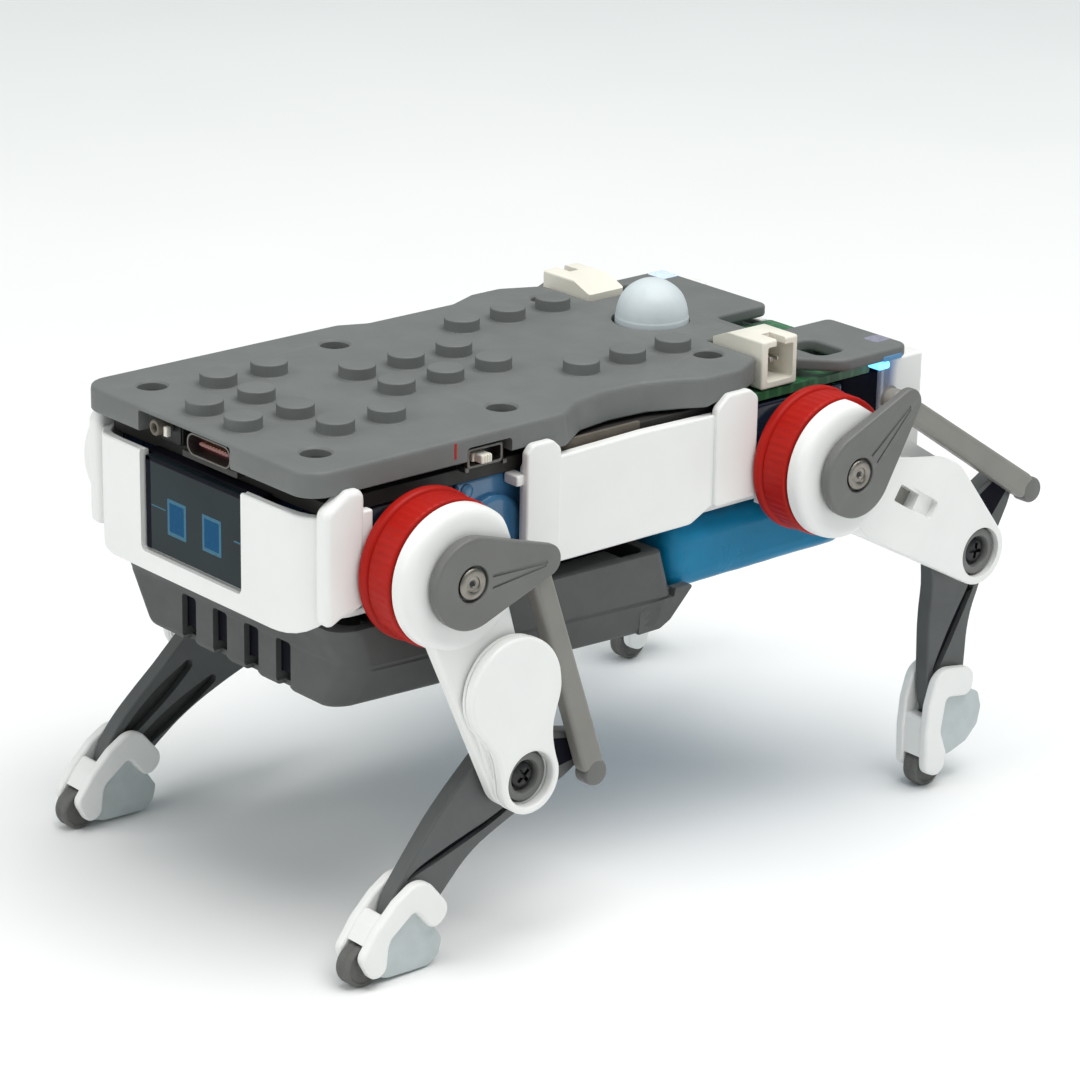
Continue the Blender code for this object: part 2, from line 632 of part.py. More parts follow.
    # foot: two cane-shaped cheeks on a heel web, and the toe roller in its fork;
    # the toe centre is where the roller stands on the floor at rest
    toe_y = TOE_SET_BACK
    toe_z = (TOE_R - DECK_HEIGHT - knee_z + toe_y * math.sin(rad(shank_angle))) / math.cos(rad(shank_angle))
    cane = stroke([
        (toe_y + 0.1, toe_z + 0.1, 1.5), (toe_y - 0.9, toe_z + 1.9, 1.6), (-0.6, -27.4, 1.65), (-1.1, -25.0, 1.7),
        (-1.75, -22.5, 1.8), (-1.4, -20.5, 1.9), (0.3, -19.5, 1.95), (2.4, -19.3, 1.95), (3.7, -19.5, 1.85)])
    web = [
        (-2.6, -24.9), (3.4, -24.9), (4.9, -21.3), (5.6, -20.6), (8.2, -20.9), (9.4, -22.6), (9.2, -24.6),
        (7.4, -26.9), (4.9, -28.9), (2.2, -30.1), (-0.4, -30.1), (-2.2, -28.2)]
    foot = part(f"foot_{name}", prism("X", web[::-1], *layer((28.5, 32.2))), DARK, knee)
    join(foot, prism("X", cane, *layer((FOOT_X[0], 28.8))), prism("X", cane, *layer((31.9, FOOT_X[1]))))
    cut(foot, disc("X", TOE_R + 0.4, *layer((28.8, 31.9)), toe_y, toe_z, 20))
    part(f"toe_pad_{name}", disc(
        "X", TOE_R, *layer((29.1, 31.6)), toe_y, toe_z, 24, phase=shank_angle), RUBBER, knee)


for end, hip_y, thigh_angle, shank_angle in (
    ("front", HIP_FRONT_Y, THIGH_FRONT, SHANK_FRONT),
    ("rear", HIP_REAR_Y, THIGH_REAR, SHANK_REAR),
):
    for name, side in (("left", 1), ("right", -1)):
        leg(f"{end}_{name}", side, hip_y, thigh_angle, shank_angle, end == "front")
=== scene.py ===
"""Looks of the four-legged walking robot: modelled shells, finishes, studio and camera.

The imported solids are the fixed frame.  Body pieces are written in a deck frame
(z = 0 on top of the deck, y = 0 on one row of studs) and leg pieces in the
frame of their own axis, all in millimetres.
"""
import math

import bmesh
import bpy
from mathutils import Matrix, Vector, noise


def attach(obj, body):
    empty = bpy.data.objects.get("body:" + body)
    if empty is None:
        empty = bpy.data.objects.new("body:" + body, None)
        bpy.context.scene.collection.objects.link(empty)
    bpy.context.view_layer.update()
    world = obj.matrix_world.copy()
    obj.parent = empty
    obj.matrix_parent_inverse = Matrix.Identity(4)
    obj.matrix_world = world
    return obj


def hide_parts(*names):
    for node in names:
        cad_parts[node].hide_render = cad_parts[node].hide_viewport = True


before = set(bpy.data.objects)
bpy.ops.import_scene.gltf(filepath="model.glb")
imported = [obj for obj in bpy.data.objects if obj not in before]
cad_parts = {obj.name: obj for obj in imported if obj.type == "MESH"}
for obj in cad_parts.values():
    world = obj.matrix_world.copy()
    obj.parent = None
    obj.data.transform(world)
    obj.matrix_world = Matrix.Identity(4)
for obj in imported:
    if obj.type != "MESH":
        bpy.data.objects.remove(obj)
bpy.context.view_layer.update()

MM = 0.001
DECK_HEIGHT = 64.3086
DECK = Matrix.Translation((0.0, -46.2248, DECK_HEIGHT))
MIRROR = Matrix.Diagonal((-1.0, 1.0, 1.0, 1.0))

HIP_Z = -13.75
HIP_Y = {"front": 2.65, "rear": 68.10}
THIGH = {"front": 18.6, "rear": 56.3}
SHANK = {"front": 51.04, "rear": 9.60}
THIGH_LENGTH = 29.2
TOE_R = 2.7
TOE_BACK = 1.3
LINK_R = 12.0
LEVER_ANGLE = 49.0


# ---------------------------------------------------------------- shape tools
TURN = {
    "X": Matrix(((0, 0, 1, 0), (1, 0, 0, 0), (0, 1, 0, 0), (0, 0, 0, 1))),
    "Y": Matrix(((1, 0, 0, 0), (0, 0, -1, 0), (0, 1, 0, 0), (0, 0, 0, 1))),
    "Z": Matrix.Identity(4),
}
DEPTH_SIGN = {"X": 1, "Y": -1, "Z": 1}


def settle(bm, dist=1e-3):
    bmesh.ops.remove_doubles(bm, verts=bm.verts, dist=dist)
    bmesh.ops.recalc_face_normals(bm, faces=bm.faces)
    return bm


def to_object(bm, name="helper"):
    mesh = bpy.data.meshes.new(name)
    bm.to_mesh(mesh)
    bm.free()
    return bpy.data.objects.new(name, mesh)


def evaluated(obj):
    """The evaluated mesh of a helper object, which is then removed."""
    bpy.context.scene.collection.objects.link(obj)
    graph = bpy.context.evaluated_depsgraph_get()
    mesh = bpy.data.meshes.new_from_object(obj.evaluated_get(graph))
    bm = bmesh.new()
    bm.from_mesh(mesh)
    bpy.data.meshes.remove(mesh)
    data = obj.data
    bpy.data.objects.remove(obj, do_unlink=True)
    if isinstance(data, bpy.types.Curve):
        bpy.data.curves.remove(data)
    else:
        bpy.data.meshes.remove(data)
    return bm


def prism(axis, outline, lo, hi, holes=(), rim=0.2, steps=2):
    """An outline with holes, given a thickness and rounded rims that stay inside it."""
    rim = min(rim, (hi - lo) / 2 - 0.005)
    curve = bpy.data.curves.new("outline", "CURVE")
    curve.dimensions = "2D"
    curve.fill_mode = "BOTH"
    curve.extrude = (hi - lo) / 2 - rim
    curve.bevel_depth = rim
    curve.bevel_resolution = steps
    curve.offset = -rim
    for ring in (outline, *holes):
        spline = curve.splines.new("POLY")
        spline.points.add(len(ring) - 1)
        for point, (a, b) in zip(spline.points, ring):
            point.co = (a, b, 0.0, 1.0)
        spline.use_cyclic_u = True
    bm = evaluated(bpy.data.objects.new("outline", curve))
    depth = DEPTH_SIGN[axis] * (lo + hi) / 2
    bm.transform(TURN[axis] @ Matrix.Translation((0, 0, depth)))
    return settle(bm)


def brick(x, y, z, rim=0.2, corner=None, axis="Z", steps=2):
    """A box with rounded edges all round."""
    spans = {"X": (y, z, x), "Y": (x, z, y), "Z": (x, y, z)}[axis]
    outline = box_outline(spans[0], spans[1], rim if corner is None else corner, 3)
    return prism(axis, outline, *spans[2], rim=rim, steps=steps)


def block(x, y, z):
    bm = bmesh.new()
    middle = Matrix.Translation([(lo + hi) / 2 for lo, hi in (x, y, z)])
    size = Matrix.Diagonal([hi - lo for lo, hi in (x, y, z)] + [1.0])
    bmesh.ops.create_cube(bm, size=1.0, matrix=middle @ size)
    return bm


def disc(axis, r, lo, hi, a=0.0, b=0.0, n=48, phase=2.0, rim=0.0):
    if rim:
        return prism(axis, circle(a, b, r, n), lo, hi, rim=rim)
    bm = bmesh.new()
    bmesh.ops.create_cone(bm, cap_ends=True, segments=n, radius1=r, radius2=r, depth=hi - lo)
    bm.transform(Matrix.Rotation(math.radians(phase), 4, "Z"))
    depth = DEPTH_SIGN[axis] * (lo + hi) / 2
    bm.transform(TURN[axis] @ Matrix.Translation((a, b, depth)))
    return settle(bm)


def turned(axis, profile, n=64, closed=False, a=0.0, b=0.0):
    """A profile of (radius, height) turned about an axis through (a, b)."""
    mesh = bpy.data.meshes.new("profile")
    bm = bmesh.new()
    ring = [bm.verts.new((r, 0.0, h)) for r, h in profile]
    for first, second in zip(ring, ring[1:] + ring[:1] if closed else ring[1:]):
        bm.edges.new((first, second))
    bm.to_mesh(mesh)
    bm.free()
    obj = bpy.data.objects.new("profile", mesh)
    screw = obj.modifiers.new("Turn", "SCREW")
    screw.axis = "Z"
    screw.steps = screw.render_steps = n
    screw.use_merge_vertices = True
    screw.merge_threshold = 0.0001
    bm = evaluated(obj)
    bm.transform(TURN[axis] @ Matrix.Translation((a, b, 0.0)))
    return settle(bm)


def loft(rings):
    """A closed skin over rings of points that all have the same count."""
    bm = bmesh.new()
    rows = [[bm.verts.new(p) for p in ring] for ring in rings]
    count = len(rows[0])
    for low, high in zip(rows, rows[1:]):
        for i in range(count):
            j = (i + 1) % count
            bm.faces.new((low[i], low[j], high[j], high[i]))
    bm.faces.new(rows[0][::-1])
    bm.faces.new(rows[-1])
    bmesh.ops.recalc_face_normals(bm, faces=bm.faces)
    return bm


def gather(*shapes):
    whole = bmesh.new()
    for bm in shapes:
        mesh = bpy.data.meshes.new("shape")
        bm.to_mesh(mesh)
        bm.free()
        whole.from_mesh(mesh)
        bpy.data.meshes.remove(mesh)
    return whole


def boolean(first, second, operation):
    tool = to_object(second, "tool")
    bpy.context.scene.collection.objects.link(tool)
    obj = to_object(first, "shape")
    made = obj.modifiers.new("Boolean", "BOOLEAN")
    made.operation = operation
    made.object = tool
    made.solver = "EXACT"
    bm = evaluated(obj)
    data = tool.data
    bpy.data.objects.remove(tool, do_unlink=True)
    bpy.data.meshes.remove(data)
    bmesh.ops.remove_doubles(bm, verts=bm.verts, dist=1e-4)
    return bm


def cut(bm, *shapes):
    for shape in shapes:
        bm = boolean(bm, shape, "DIFFERENCE")
    return bm


def join(bm, *shapes):
    for shape in shapes:
        bm = boolean(bm, shape, "UNION")
    return bm


def moved(bm, *matrices):
    for matrix in matrices:
        bm.transform(matrix)
        if matrix.determinant() < 0:
            bmesh.ops.reverse_faces(bm, faces=bm.faces)
    return bm


def both_sides(bm):
    return gather(bm.copy(), moved(bm, MIRROR))


# ------------------------------------------------------------------- outlines
def arc(a, b, r, start, end, n):
    return [
        (a + r * math.cos(math.radians(start + (end - start) * i / n)),
         b + r * math.sin(math.radians(start + (end - start) * i / n)))
        for i in range(n + 1)
    ]


def circle(a, b, r, n=48):
    return arc(a, b, r, 0.0, 360.0 * (n - 1) / n, n - 1)


def hull(points):
    points = sorted(set(points))

    def chain(run):
        out = []
        for p in run:
            while len(out) > 1 and (
                (out[-1][0] - out[-2][0]) * (p[1] - out[-2][1])
                - (out[-1][1] - out[-2][1]) * (p[0] - out[-2][0])
            ) <= 1e-6:
                out.pop()
            out.append(p)
        return out[:-1]

    return chain(points) + chain(points[::-1])


def around(*circles, n=48):
    return hull([p for a, b, r in circles for p in circle(a, b, r, n)])


def rounded(corners, n=5):
    """An outline whose corners (a, b, radius) are rounded."""
    out = []
    count = len(corners)
    for i, (a, b, r) in enumerate(corners):
        if r <= 0:
            out.append((a, b))
            continue
        pa, pb, _ = corners[i - 1]
        na, nb, _ = corners[(i + 1) % count]
        ua, ub = pa - a, pb - b
        va, vb = na - a, nb - b
        lu, lv = math.hypot(ua, ub), math.hypot(va, vb)
        ua, ub, va, vb = ua / lu, ub / lu, va / lv, vb / lv
        half = math.acos(max(-1.0, min(1.0, ua * va + ub * vb))) / 2
        reach = r / math.tan(half)
        ma, mb = ua + va, ub + vb
        length = math.hypot(ma, mb)
        ca = a + ma / length * r / math.sin(half)
        cb = b + mb / length * r / math.sin(half)
        start = math.atan2(b + ub * reach - cb, a + ua * reach - ca)
        end = math.atan2(b + vb * reach - cb, a + va * reach - ca)
        turn = (end - start + math.pi) % (2 * math.pi) - math.pi
        for k in range(n + 1):
            angle = start + turn * k / n
            out.append((ca + r * math.cos(angle), cb + r * math.sin(angle)))
    return out


def box_outline(a, b, r=0.0, n=4):
    return rounded(
        [(a[0], b[0], r), (a[1], b[0], r), (a[1], b[1], r), (a[0], b[1], r)], n
    )


def along(path, steps=6):
    """A smooth run of points through a path of tuples."""
    dense = []
    for i in range(len(path) - 1):
        p0, p1 = path[max(i - 1, 0)], path[i]
        p2, p3 = path[i + 1], path[min(i + 2, len(path) - 1)]
        for k in range(steps):
            t = k / steps
            dense.append(tuple(
                0.5 * (2 * q1 + (q2 - q0) * t + (2 * q0 - 5 * q1 + 4 * q2 - q3) * t * t
                       + (3 * q1 - q0 - 3 * q2 + q3) * t ** 3)
                for q0, q1, q2, q3 in zip(p0, p1, p2, p3)
            ))
    dense.append(path[-1])
    return dense


def stroke(path, steps=5, ends=8, square=0.0):
    """Outline of a bar along a smooth path of (a, b, half width), round at both ends.

    A square amount makes the last end nearly flat, that far past the path.
    """
    dense = along(path, steps)
    left, right = [], []
    for i, (a, b, w) in enumerate(dense):
        a0, b0, _ = dense[max(i - 1, 0)]
        a1, b1, _ = dense[min(i + 1, len(dense) - 1)]
        length = math.hypot(a1 - a0, b1 - b0)
        na, nb = -(b1 - b0) / length, (a1 - a0) / length
        left.append((a + na * w, b + nb * w))
        right.append((a - na * w, b - nb * w))

    def end_cap(index, other):
        a, b, w = dense[index]
        a0, b0, _ = dense[other]
        heading = math.degrees(math.atan2(b - b0, a - a0))
        return arc(a, b, w, heading - 90, heading + 90, ends)[1:-1]

    last = end_cap(-1, -2)
    if square:
        a, b, w = dense[-1]
        heading = math.atan2(b - dense[-2][1], a - dense[-2][0])
        last = []
        for k in range(1, ends):
            turn = math.radians(-90 + 180 * k / ends)
            fore = square * abs(math.cos(turn)) ** 0.4
            across = w * math.copysign(abs(math.sin(turn)) ** 0.4, turn)
            last.append((a + fore * math.cos(heading) - across * math.sin(heading),
                         b + fore * math.sin(heading) + across * math.cos(heading)))
    return right + last + left[::-1] + end_cap(0, 1)


def smoothstep(t):
    t = max(0.0, min(1.0, t))
    return t * t * (3 - 2 * t)


# ------------------------------------------------------------------ materials
class Finish:
    """A node material under construction, over Principled BSDF."""

    def __init__(self, name):
        self.material = bpy.data.materials.new(name)
        self.material.use_nodes = True
        self.tree = self.material.node_tree
        self.shader = self.tree.nodes["Principled BSDF"]
        self.place = self.tree.nodes.new("ShaderNodeTexCoord").outputs["Object"]

    def node(self, kind, **values):
        made = self.tree.nodes.new(kind)
        for key, value in values.items():
            if hasattr(made, key) and key not in made.inputs:
                setattr(made, key, value)
            else:
                made.inputs[key].default_value = value
        return made

    def link(self, source, target):
        self.tree.links.new(source, target)

    def noise(self, size, detail=3.0, rough=0.55, stretch=None):
        """Noise whose features are about size millimetres across."""
        made = self.node("ShaderNodeTexNoise", Scale=1000.0 / size, Detail=detail, Roughness=rough)
        if stretch:
            mapping = self.node("ShaderNodeMapping", Scale=stretch)
            self.link(self.place, mapping.inputs["Vector"])
            self.link(mapping.outputs["Vector"], made.inputs["Vector"])
        else:
            self.link(self.place, made.inputs["Vector"])
        return made.outputs["Fac"]

    def spread(self, source, low, high, start=0.3, stop=0.7):
        made = self.node("ShaderNodeMapRange")
        for label, value in (("From Min", start), ("From Max", stop), ("To Min", low), ("To Max", high)):
            made.inputs[label].default_value = value
        self.link(source, made.inputs["Value"])
        return made.outputs["Result"]

    def times(self, one, other):
        made = self.node("ShaderNodeMath", operation="MULTIPLY")
        for value, socket in ((one, made.inputs[0]), (other, made.inputs[1])):
            if isinstance(value, (int, float)):
                socket.default_value = value
            else:
                self.link(value, socket)
        return made.outputs[0]

    def blend(self, factor, first, second):
        made = self.node("ShaderNodeMix", data_type="RGBA")
        self.link(factor, made.inputs["Factor"])
        for value, socket in ((first, made.inputs["A"]), (second, made.inputs["B"])):
            # the colour sockets are the ones that hold four numbers
            socket = [s for s in made.inputs if s.name == socket.name and s.type == "RGBA"][0]
            if isinstance(value, tuple):
                socket.default_value = (*value, 1.0)
            else:
                self.link(value, socket)
        return [s for s in made.outputs if s.type == "RGBA"][0]

    def bump(self, height, distance, strength=1.0, before=None):
        made = self.node("ShaderNodeBump", Strength=strength, Distance=distance * MM)
        self.link(height, made.inputs["Height"])
        if before is not None:
            self.link(before, made.inputs["Normal"])
        return made.outputs["Normal"]


def shade(colour, factor):
    return tuple(max(0.0, min(1.0, c * factor)) for c in colour)


def plastic(name, colour, roughness, slot, vary=0.07, blotch=7.0, grain=0.22, height=0.006,
            edge=0.25, worn=None, dust=0.0, **sockets):
    """Moulded plastic: cloudy colour, fine spark grain, worn edges, uneven gloss."""
    f = Finish(name)
    tone = f.blend(f.spread(f.noise(blotch, 4.0), 0.0, 1.0), shade(colour, 1 - vary), shade(colour, 1 + vary))
    if dust:
        tone = f.blend(f.spread(f.noise(blotch * 2.3, 6.0, 0.7), 0.0, dust, 0.5, 0.75), tone,
                       shade(tuple(c + 0.12 for c in colour), 1.0))
    point = f.node("ShaderNodeNewGeometry").outputs["Pointiness"]
    rub = f.times(f.spread(point, 0.0, edge, 0.52, 0.62), f.spread(f.noise(1.6, 4.0), 0.25, 1.0))
    tone = f.blend(rub, tone, worn or shade(tuple(c * 1.25 + 0.03 for c in colour), 1.0))
    f.link(tone, f.shader.inputs["Base Color"])
    f.link(f.spread(f.noise(blotch * 0.45, 5.0, 0.6), roughness - 0.06, roughness + 0.07), f.shader.inputs["Roughness"])
    fine = f.bump(f.noise(grain, 2.0), height, 0.8)
    f.link(f.bump(f.noise(blotch * 0.6, 2.0), height * 3.0, 0.25, fine), f.shader.inputs["Normal"])
    for label, value in sockets.items():
        f.shader.inputs[label.replace("_", " ")].default_value = value
    return f.material, slot


def metal(name, colour, roughness, slot, turned_marks=True):
    f = Finish(name)
    tone = f.blend(f.spread(f.noise(1.2, 5.0), 0.0, 1.0), shade(colour, 0.82), shade(colour, 1.12))
    f.link(tone, f.shader.inputs["Base Color"])
    f.shader.inputs["Metallic"].default_value = 1.0
    f.link(f.spread(f.noise(0.5, 4.0), roughness - 0.08, roughness + 0.1), f.shader.inputs["Roughness"])
    f.link(f.bump(f.noise(0.12, 2.0, stretch=(0.25, 1.0, 1.0) if turned_marks else None), 0.004, 0.7),
           f.shader.inputs["Normal"])
    return f.material, slot


WHITE = plastic("moulded_white", (0.83, 0.83, 0.815), 0.38, "white_plastic", vary=0.018, height=0.004,
                edge=0.0, blotch=9.0)
GREY = plastic("moulded_grey", (0.150, 0.158, 0.155), 0.55, "grey_plastic", vary=0.06, grain=0.3, height=0.012,
               edge=0.3, dust=0.08, Specular_IOR_Level=0.3)
DARK = plastic("moulded_dark_grey", (0.085, 0.09, 0.09), 0.48, "dark_plastic", vary=0.09, grain=0.28, height=0.012,
               edge=0.4)
TRAY = plastic("moulded_tray_grey", (0.074, 0.078, 0.077), 0.5, "dark_plastic", vary=0.08, grain=0.28, height=0.012,
               edge=0.35, Specular_IOR_Level=0.3)
LINK = plastic("moulded_link_grey", (0.136, 0.137, 0.131), 0.46, "link_plastic", vary=0.07, grain=0.25, height=0.01,
               edge=0.35)
ROD = plastic("moulded_rod_grey", (0.215, 0.207, 0.190), 0.42, "link_plastic", vary=0.07, grain=0.25, height=0.008,
              edge=0.3)
RED = plastic("moulded_red", (0.385, 0.010, 0.006), 0.42, "red_plastic", vary=0.10, grain=0.22, height=0.006,
              edge=0.25, worn=(0.60, 0.05, 0.035), Specular_IOR_Level=0.15)
SERVO = plastic("servo_case_blue", (0.038, 0.160, 0.320), 0.22, "servo_blue", vary=0.15, height=0.004, edge=0.3,
                Coat_Weight=0.6, Coat_Roughness=0.08)
# darker copy of the servo blue: painted shade of the dark bay under the hip ring
SERVO_SHADED = plastic("servo_case_painted_shade", (0.008, 0.020, 0.045), 0.24, "servo_blue", vary=0.15, height=0.004, edge=0.3,
               Coat_Weight=0.6, Coat_Roughness=0.08)
CREAM = plastic("nylon_cream", (0.78, 0.75, 0.66), 0.42, "cream_plastic", vary=0.04, height=0.005, edge=0.05)
# darker copy of the cream nylon: painted shade inside the connector mouths
CREAM_SHADED = plastic("nylon_cream_painted_shade", (0.42, 0.36, 0.27), 0.5, "cream_plastic", vary=0.08, height=0.006, edge=0.1)
DOME = plastic("milky_dome", (0.60, 0.655, 0.685), 0.45, "dome_plastic", vary=0.03, blotch=3.0, height=0.003, edge=0.0,
               Specular_IOR_Level=0.35)
HEEL = plastic("frosted_heel", (0.50, 0.545, 0.55), 0.5, "dome_plastic", vary=0.06, blotch=2.5, height=0.006, edge=0.15)
RUBBER = plastic("toe_rubber", (0.115, 0.115, 0.108), 0.72, "rubber", vary=0.14, blotch=1.8, grain=0.18, height=0.02,
                 edge=0.5)
BLACK = plastic("black_nylon", (0.018, 0.018, 0.018), 0.5, "black_plastic", vary=0.2, height=0.008, edge=0.3)
# matt near-black: a display frame's own black, and painted shade where black pieces stand in for shadow
BLACK_AND_SHADE = plastic("matt_black_and_painted_shade", (0.007, 0.007, 0.013), 0.75, "black_plastic", vary=0.2, height=0.006, edge=0.1,
                Specular_IOR_Level=0.08)
UMBER = plastic("brown_button", (0.13, 0.112, 0.09), 0.5, "cream_plastic", vary=0.1, height=0.006, edge=0.2)
MAROON = plastic("dark_red_tongue", (0.085, 0.012, 0.014), 0.4, "black_plastic", vary=0.15, height=0.004, edge=0.2)
ROSE = plastic("rose_tongue", (0.26, 0.10, 0.10), 0.45, "black_plastic", vary=0.1, height=0.004, edge=0.1)
# dark brown: board-edge brown, and painted shade of the gap under the deck
BROWN_AND_SHADE = plastic("brown_board_edge_and_shade", (0.105, 0.088, 0.068), 0.6, "board_green", vary=0.14, blotch=2.0, height=0.008, edge=0.2)
# near-black sheet: painted shade under the deck and under the data socket
SHADE_SHEET = plastic("painted_shade_sheet", (0.022, 0.020, 0.018), 0.6, "board_green", vary=0.2, height=0.006, edge=0.1)
STEEL = metal("bright_steel", (0.60, 0.595, 0.575), 0.34, "steel")
WARM_STEEL = metal("warm_steel", (0.27, 0.252, 0.225), 0.36, "steel")
DULL_STEEL = metal("dull_steel", (0.17, 0.162, 0.152), 0.45, "steel")
BLACK_STEEL = metal("blacked_steel", (0.05, 0.05, 0.052), 0.42, "black_steel")
BRASS = metal("contact_brass", (0.72, 0.55, 0.28), 0.3, "steel", False)


def film():
    """Shrink film: glossy blue with fine pulled wrinkles towards the ends."""
    f = Finish("blue_shrink_film")
    base = (0.006, 0.192, 0.37)
    tone = f.blend(f.spread(f.noise(9.0, 4.0), 0.0, 1.0), shade(base, 0.86), shade(base, 1.14))
    f.link(tone, f.shader.inputs["Base Color"])
    f.link(f.spread(f.noise(4.0, 5.0), 0.27, 0.42), f.shader.inputs["Roughness"])
    pulled = f.bump(f.noise(2.2, 3.0, stretch=(1.0, 0.22, 1.0)), 0.06, 0.5)
    f.link(f.bump(f.noise(0.5, 2.0), 0.008, 0.4, pulled), f.shader.inputs["Normal"])
    f.shader.inputs["Coat Weight"].default_value = 0.05
    f.shader.inputs["Coat Roughness"].default_value = 0.2
    f.shader.inputs["Specular IOR Level"].default_value = 0.16
    return f.material, "battery_film"


def board():
    """Solder mask with faint copper runs under it."""
    f = Finish("green_solder_mask")
    base = (0.030, 0.135, 0.055)
    cells = f.node("ShaderNodeTexBrick", Scale=1000.0 / 9.0)
    cells.inputs["Color1"].default_value = cells.inputs["Color2"].default_value = (1, 1, 1, 1)
    cells.inputs["Mortar"].default_value = (0, 0, 0, 1)
    cells.inputs["Mortar Size"].default_value = 0.035
    f.link(f.place, cells.inputs["Vector"])
    runs = f.blend(f.spread(cells.outputs["Fac"], 0.0, 1.0, 0.0, 1.0), base, (0.06, 0.22, 0.09))
    tone = f.blend(f.spread(f.noise(6.0, 4.0), 0.0, 0.6), runs, shade(base, 0.6))
    f.link(tone, f.shader.inputs["Base Color"])
    f.link(f.spread(f.noise(2.0, 4.0), 0.26, 0.4), f.shader.inputs["Roughness"])
    f.link(f.bump(cells.outputs["Fac"], 0.03, 0.4), f.shader.inputs["Normal"])
    return f.material, "board_green"


def glass():
    f = Finish("display_glass_face")
    base = (0.014, 0.023, 0.027)
    tone = f.blend(f.spread(f.noise(14.0, 2.0), 0.0, 1.0), shade(base, 0.85), shade(base, 1.2))
    f.link(tone, f.shader.inputs["Base Color"])
    f.link(f.spread(f.noise(2.5, 6.0, 0.7), 0.10, 0.2), f.shader.inputs["Roughness"])
    f.link(f.bump(f.noise(5.0, 1.0), 0.004, 0.2), f.shader.inputs["Normal"])
    f.shader.inputs["Specular IOR Level"].default_value = 0.12
    return f.material, "display_glass"


def lit(name, colour, glow, strength, slot, roughness=0.3):
    """A surface that gives light of its own, with a fine pixel weave over it."""
    f = Finish(name)
    tone = f.blend(f.spread(f.noise(0.35, 1.0), 0.0, 1.0), shade(colour, 0.85), shade(colour, 1.1))
    f.link(tone, f.shader.inputs["Base Color"])
    f.link(f.spread(f.noise(0.8, 3.0), roughness - 0.08, roughness + 0.08), f.shader.inputs["Roughness"])
    f.shader.inputs["Emission Color"].default_value = (*glow, 1.0)
    f.shader.inputs["Emission Strength"].default_value = strength
    f.shader.inputs["Specular IOR Level"].default_value = 0.04
    return f.material, slot


FILM, BOARD, GLASS = film(), board(), glass()
EYE = lit("eye_pixels", (0.004, 0.02, 0.04), (0.005, 0.062, 0.150), 0.9, "display_glass", 0.25)
EYE_EDGE = lit("eye_outline", (0.04, 0.09, 0.12), (0.030, 0.105, 0.170), 0.7, "display_glass", 0.3)
LED = lit("blue_lamp", (0.25, 0.55, 0.95), (0.10, 0.42, 1.0), 3.0, "dome_plastic", 0.3)
# painted light: the blue lamps' glow on the tail's side face
LAMP_SPILL = lit("painted_lamp_spill", (0.10, 0.16, 0.22), (0.05, 0.22, 0.46), 0.55, "dome_plastic", 0.35)
# painted light: the blue lamps' tint on the tops of the tail lobes
LAMP_TINT = lit("painted_lamp_tint", (0.55, 0.62, 0.75), (0.22, 0.33, 0.60), 0.5, "dome_plastic", 0.35)
LAMP_TINT_DIM = lit("light_pipe_dim", (0.25, 0.25, 0.31), (0.05, 0.05, 0.09), 0.3, "dome_plastic", 0.35)


# --------------------------------------------------------------------- pieces
def piece(name, bm, look, body="body", replaces=(), place=DECK, angle=34.0):
    moved(bm, place)
    bm.transform(Matrix.Scale(MM, 4))
    obj = to_object(bm, name)
    bpy.context.scene.collection.objects.link(obj)
    mesh = obj.data
    mesh.materials.append(look[0])
    mesh.shade_smooth()
    mesh.set_sharp_from_angle(angle=math.radians(angle))
    even = obj.modifiers.new("Even shading", "WEIGHTED_NORMAL")
    even.keep_sharp = True
    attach(obj, body)
    if replaces:
        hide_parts(*replaces)
    return obj


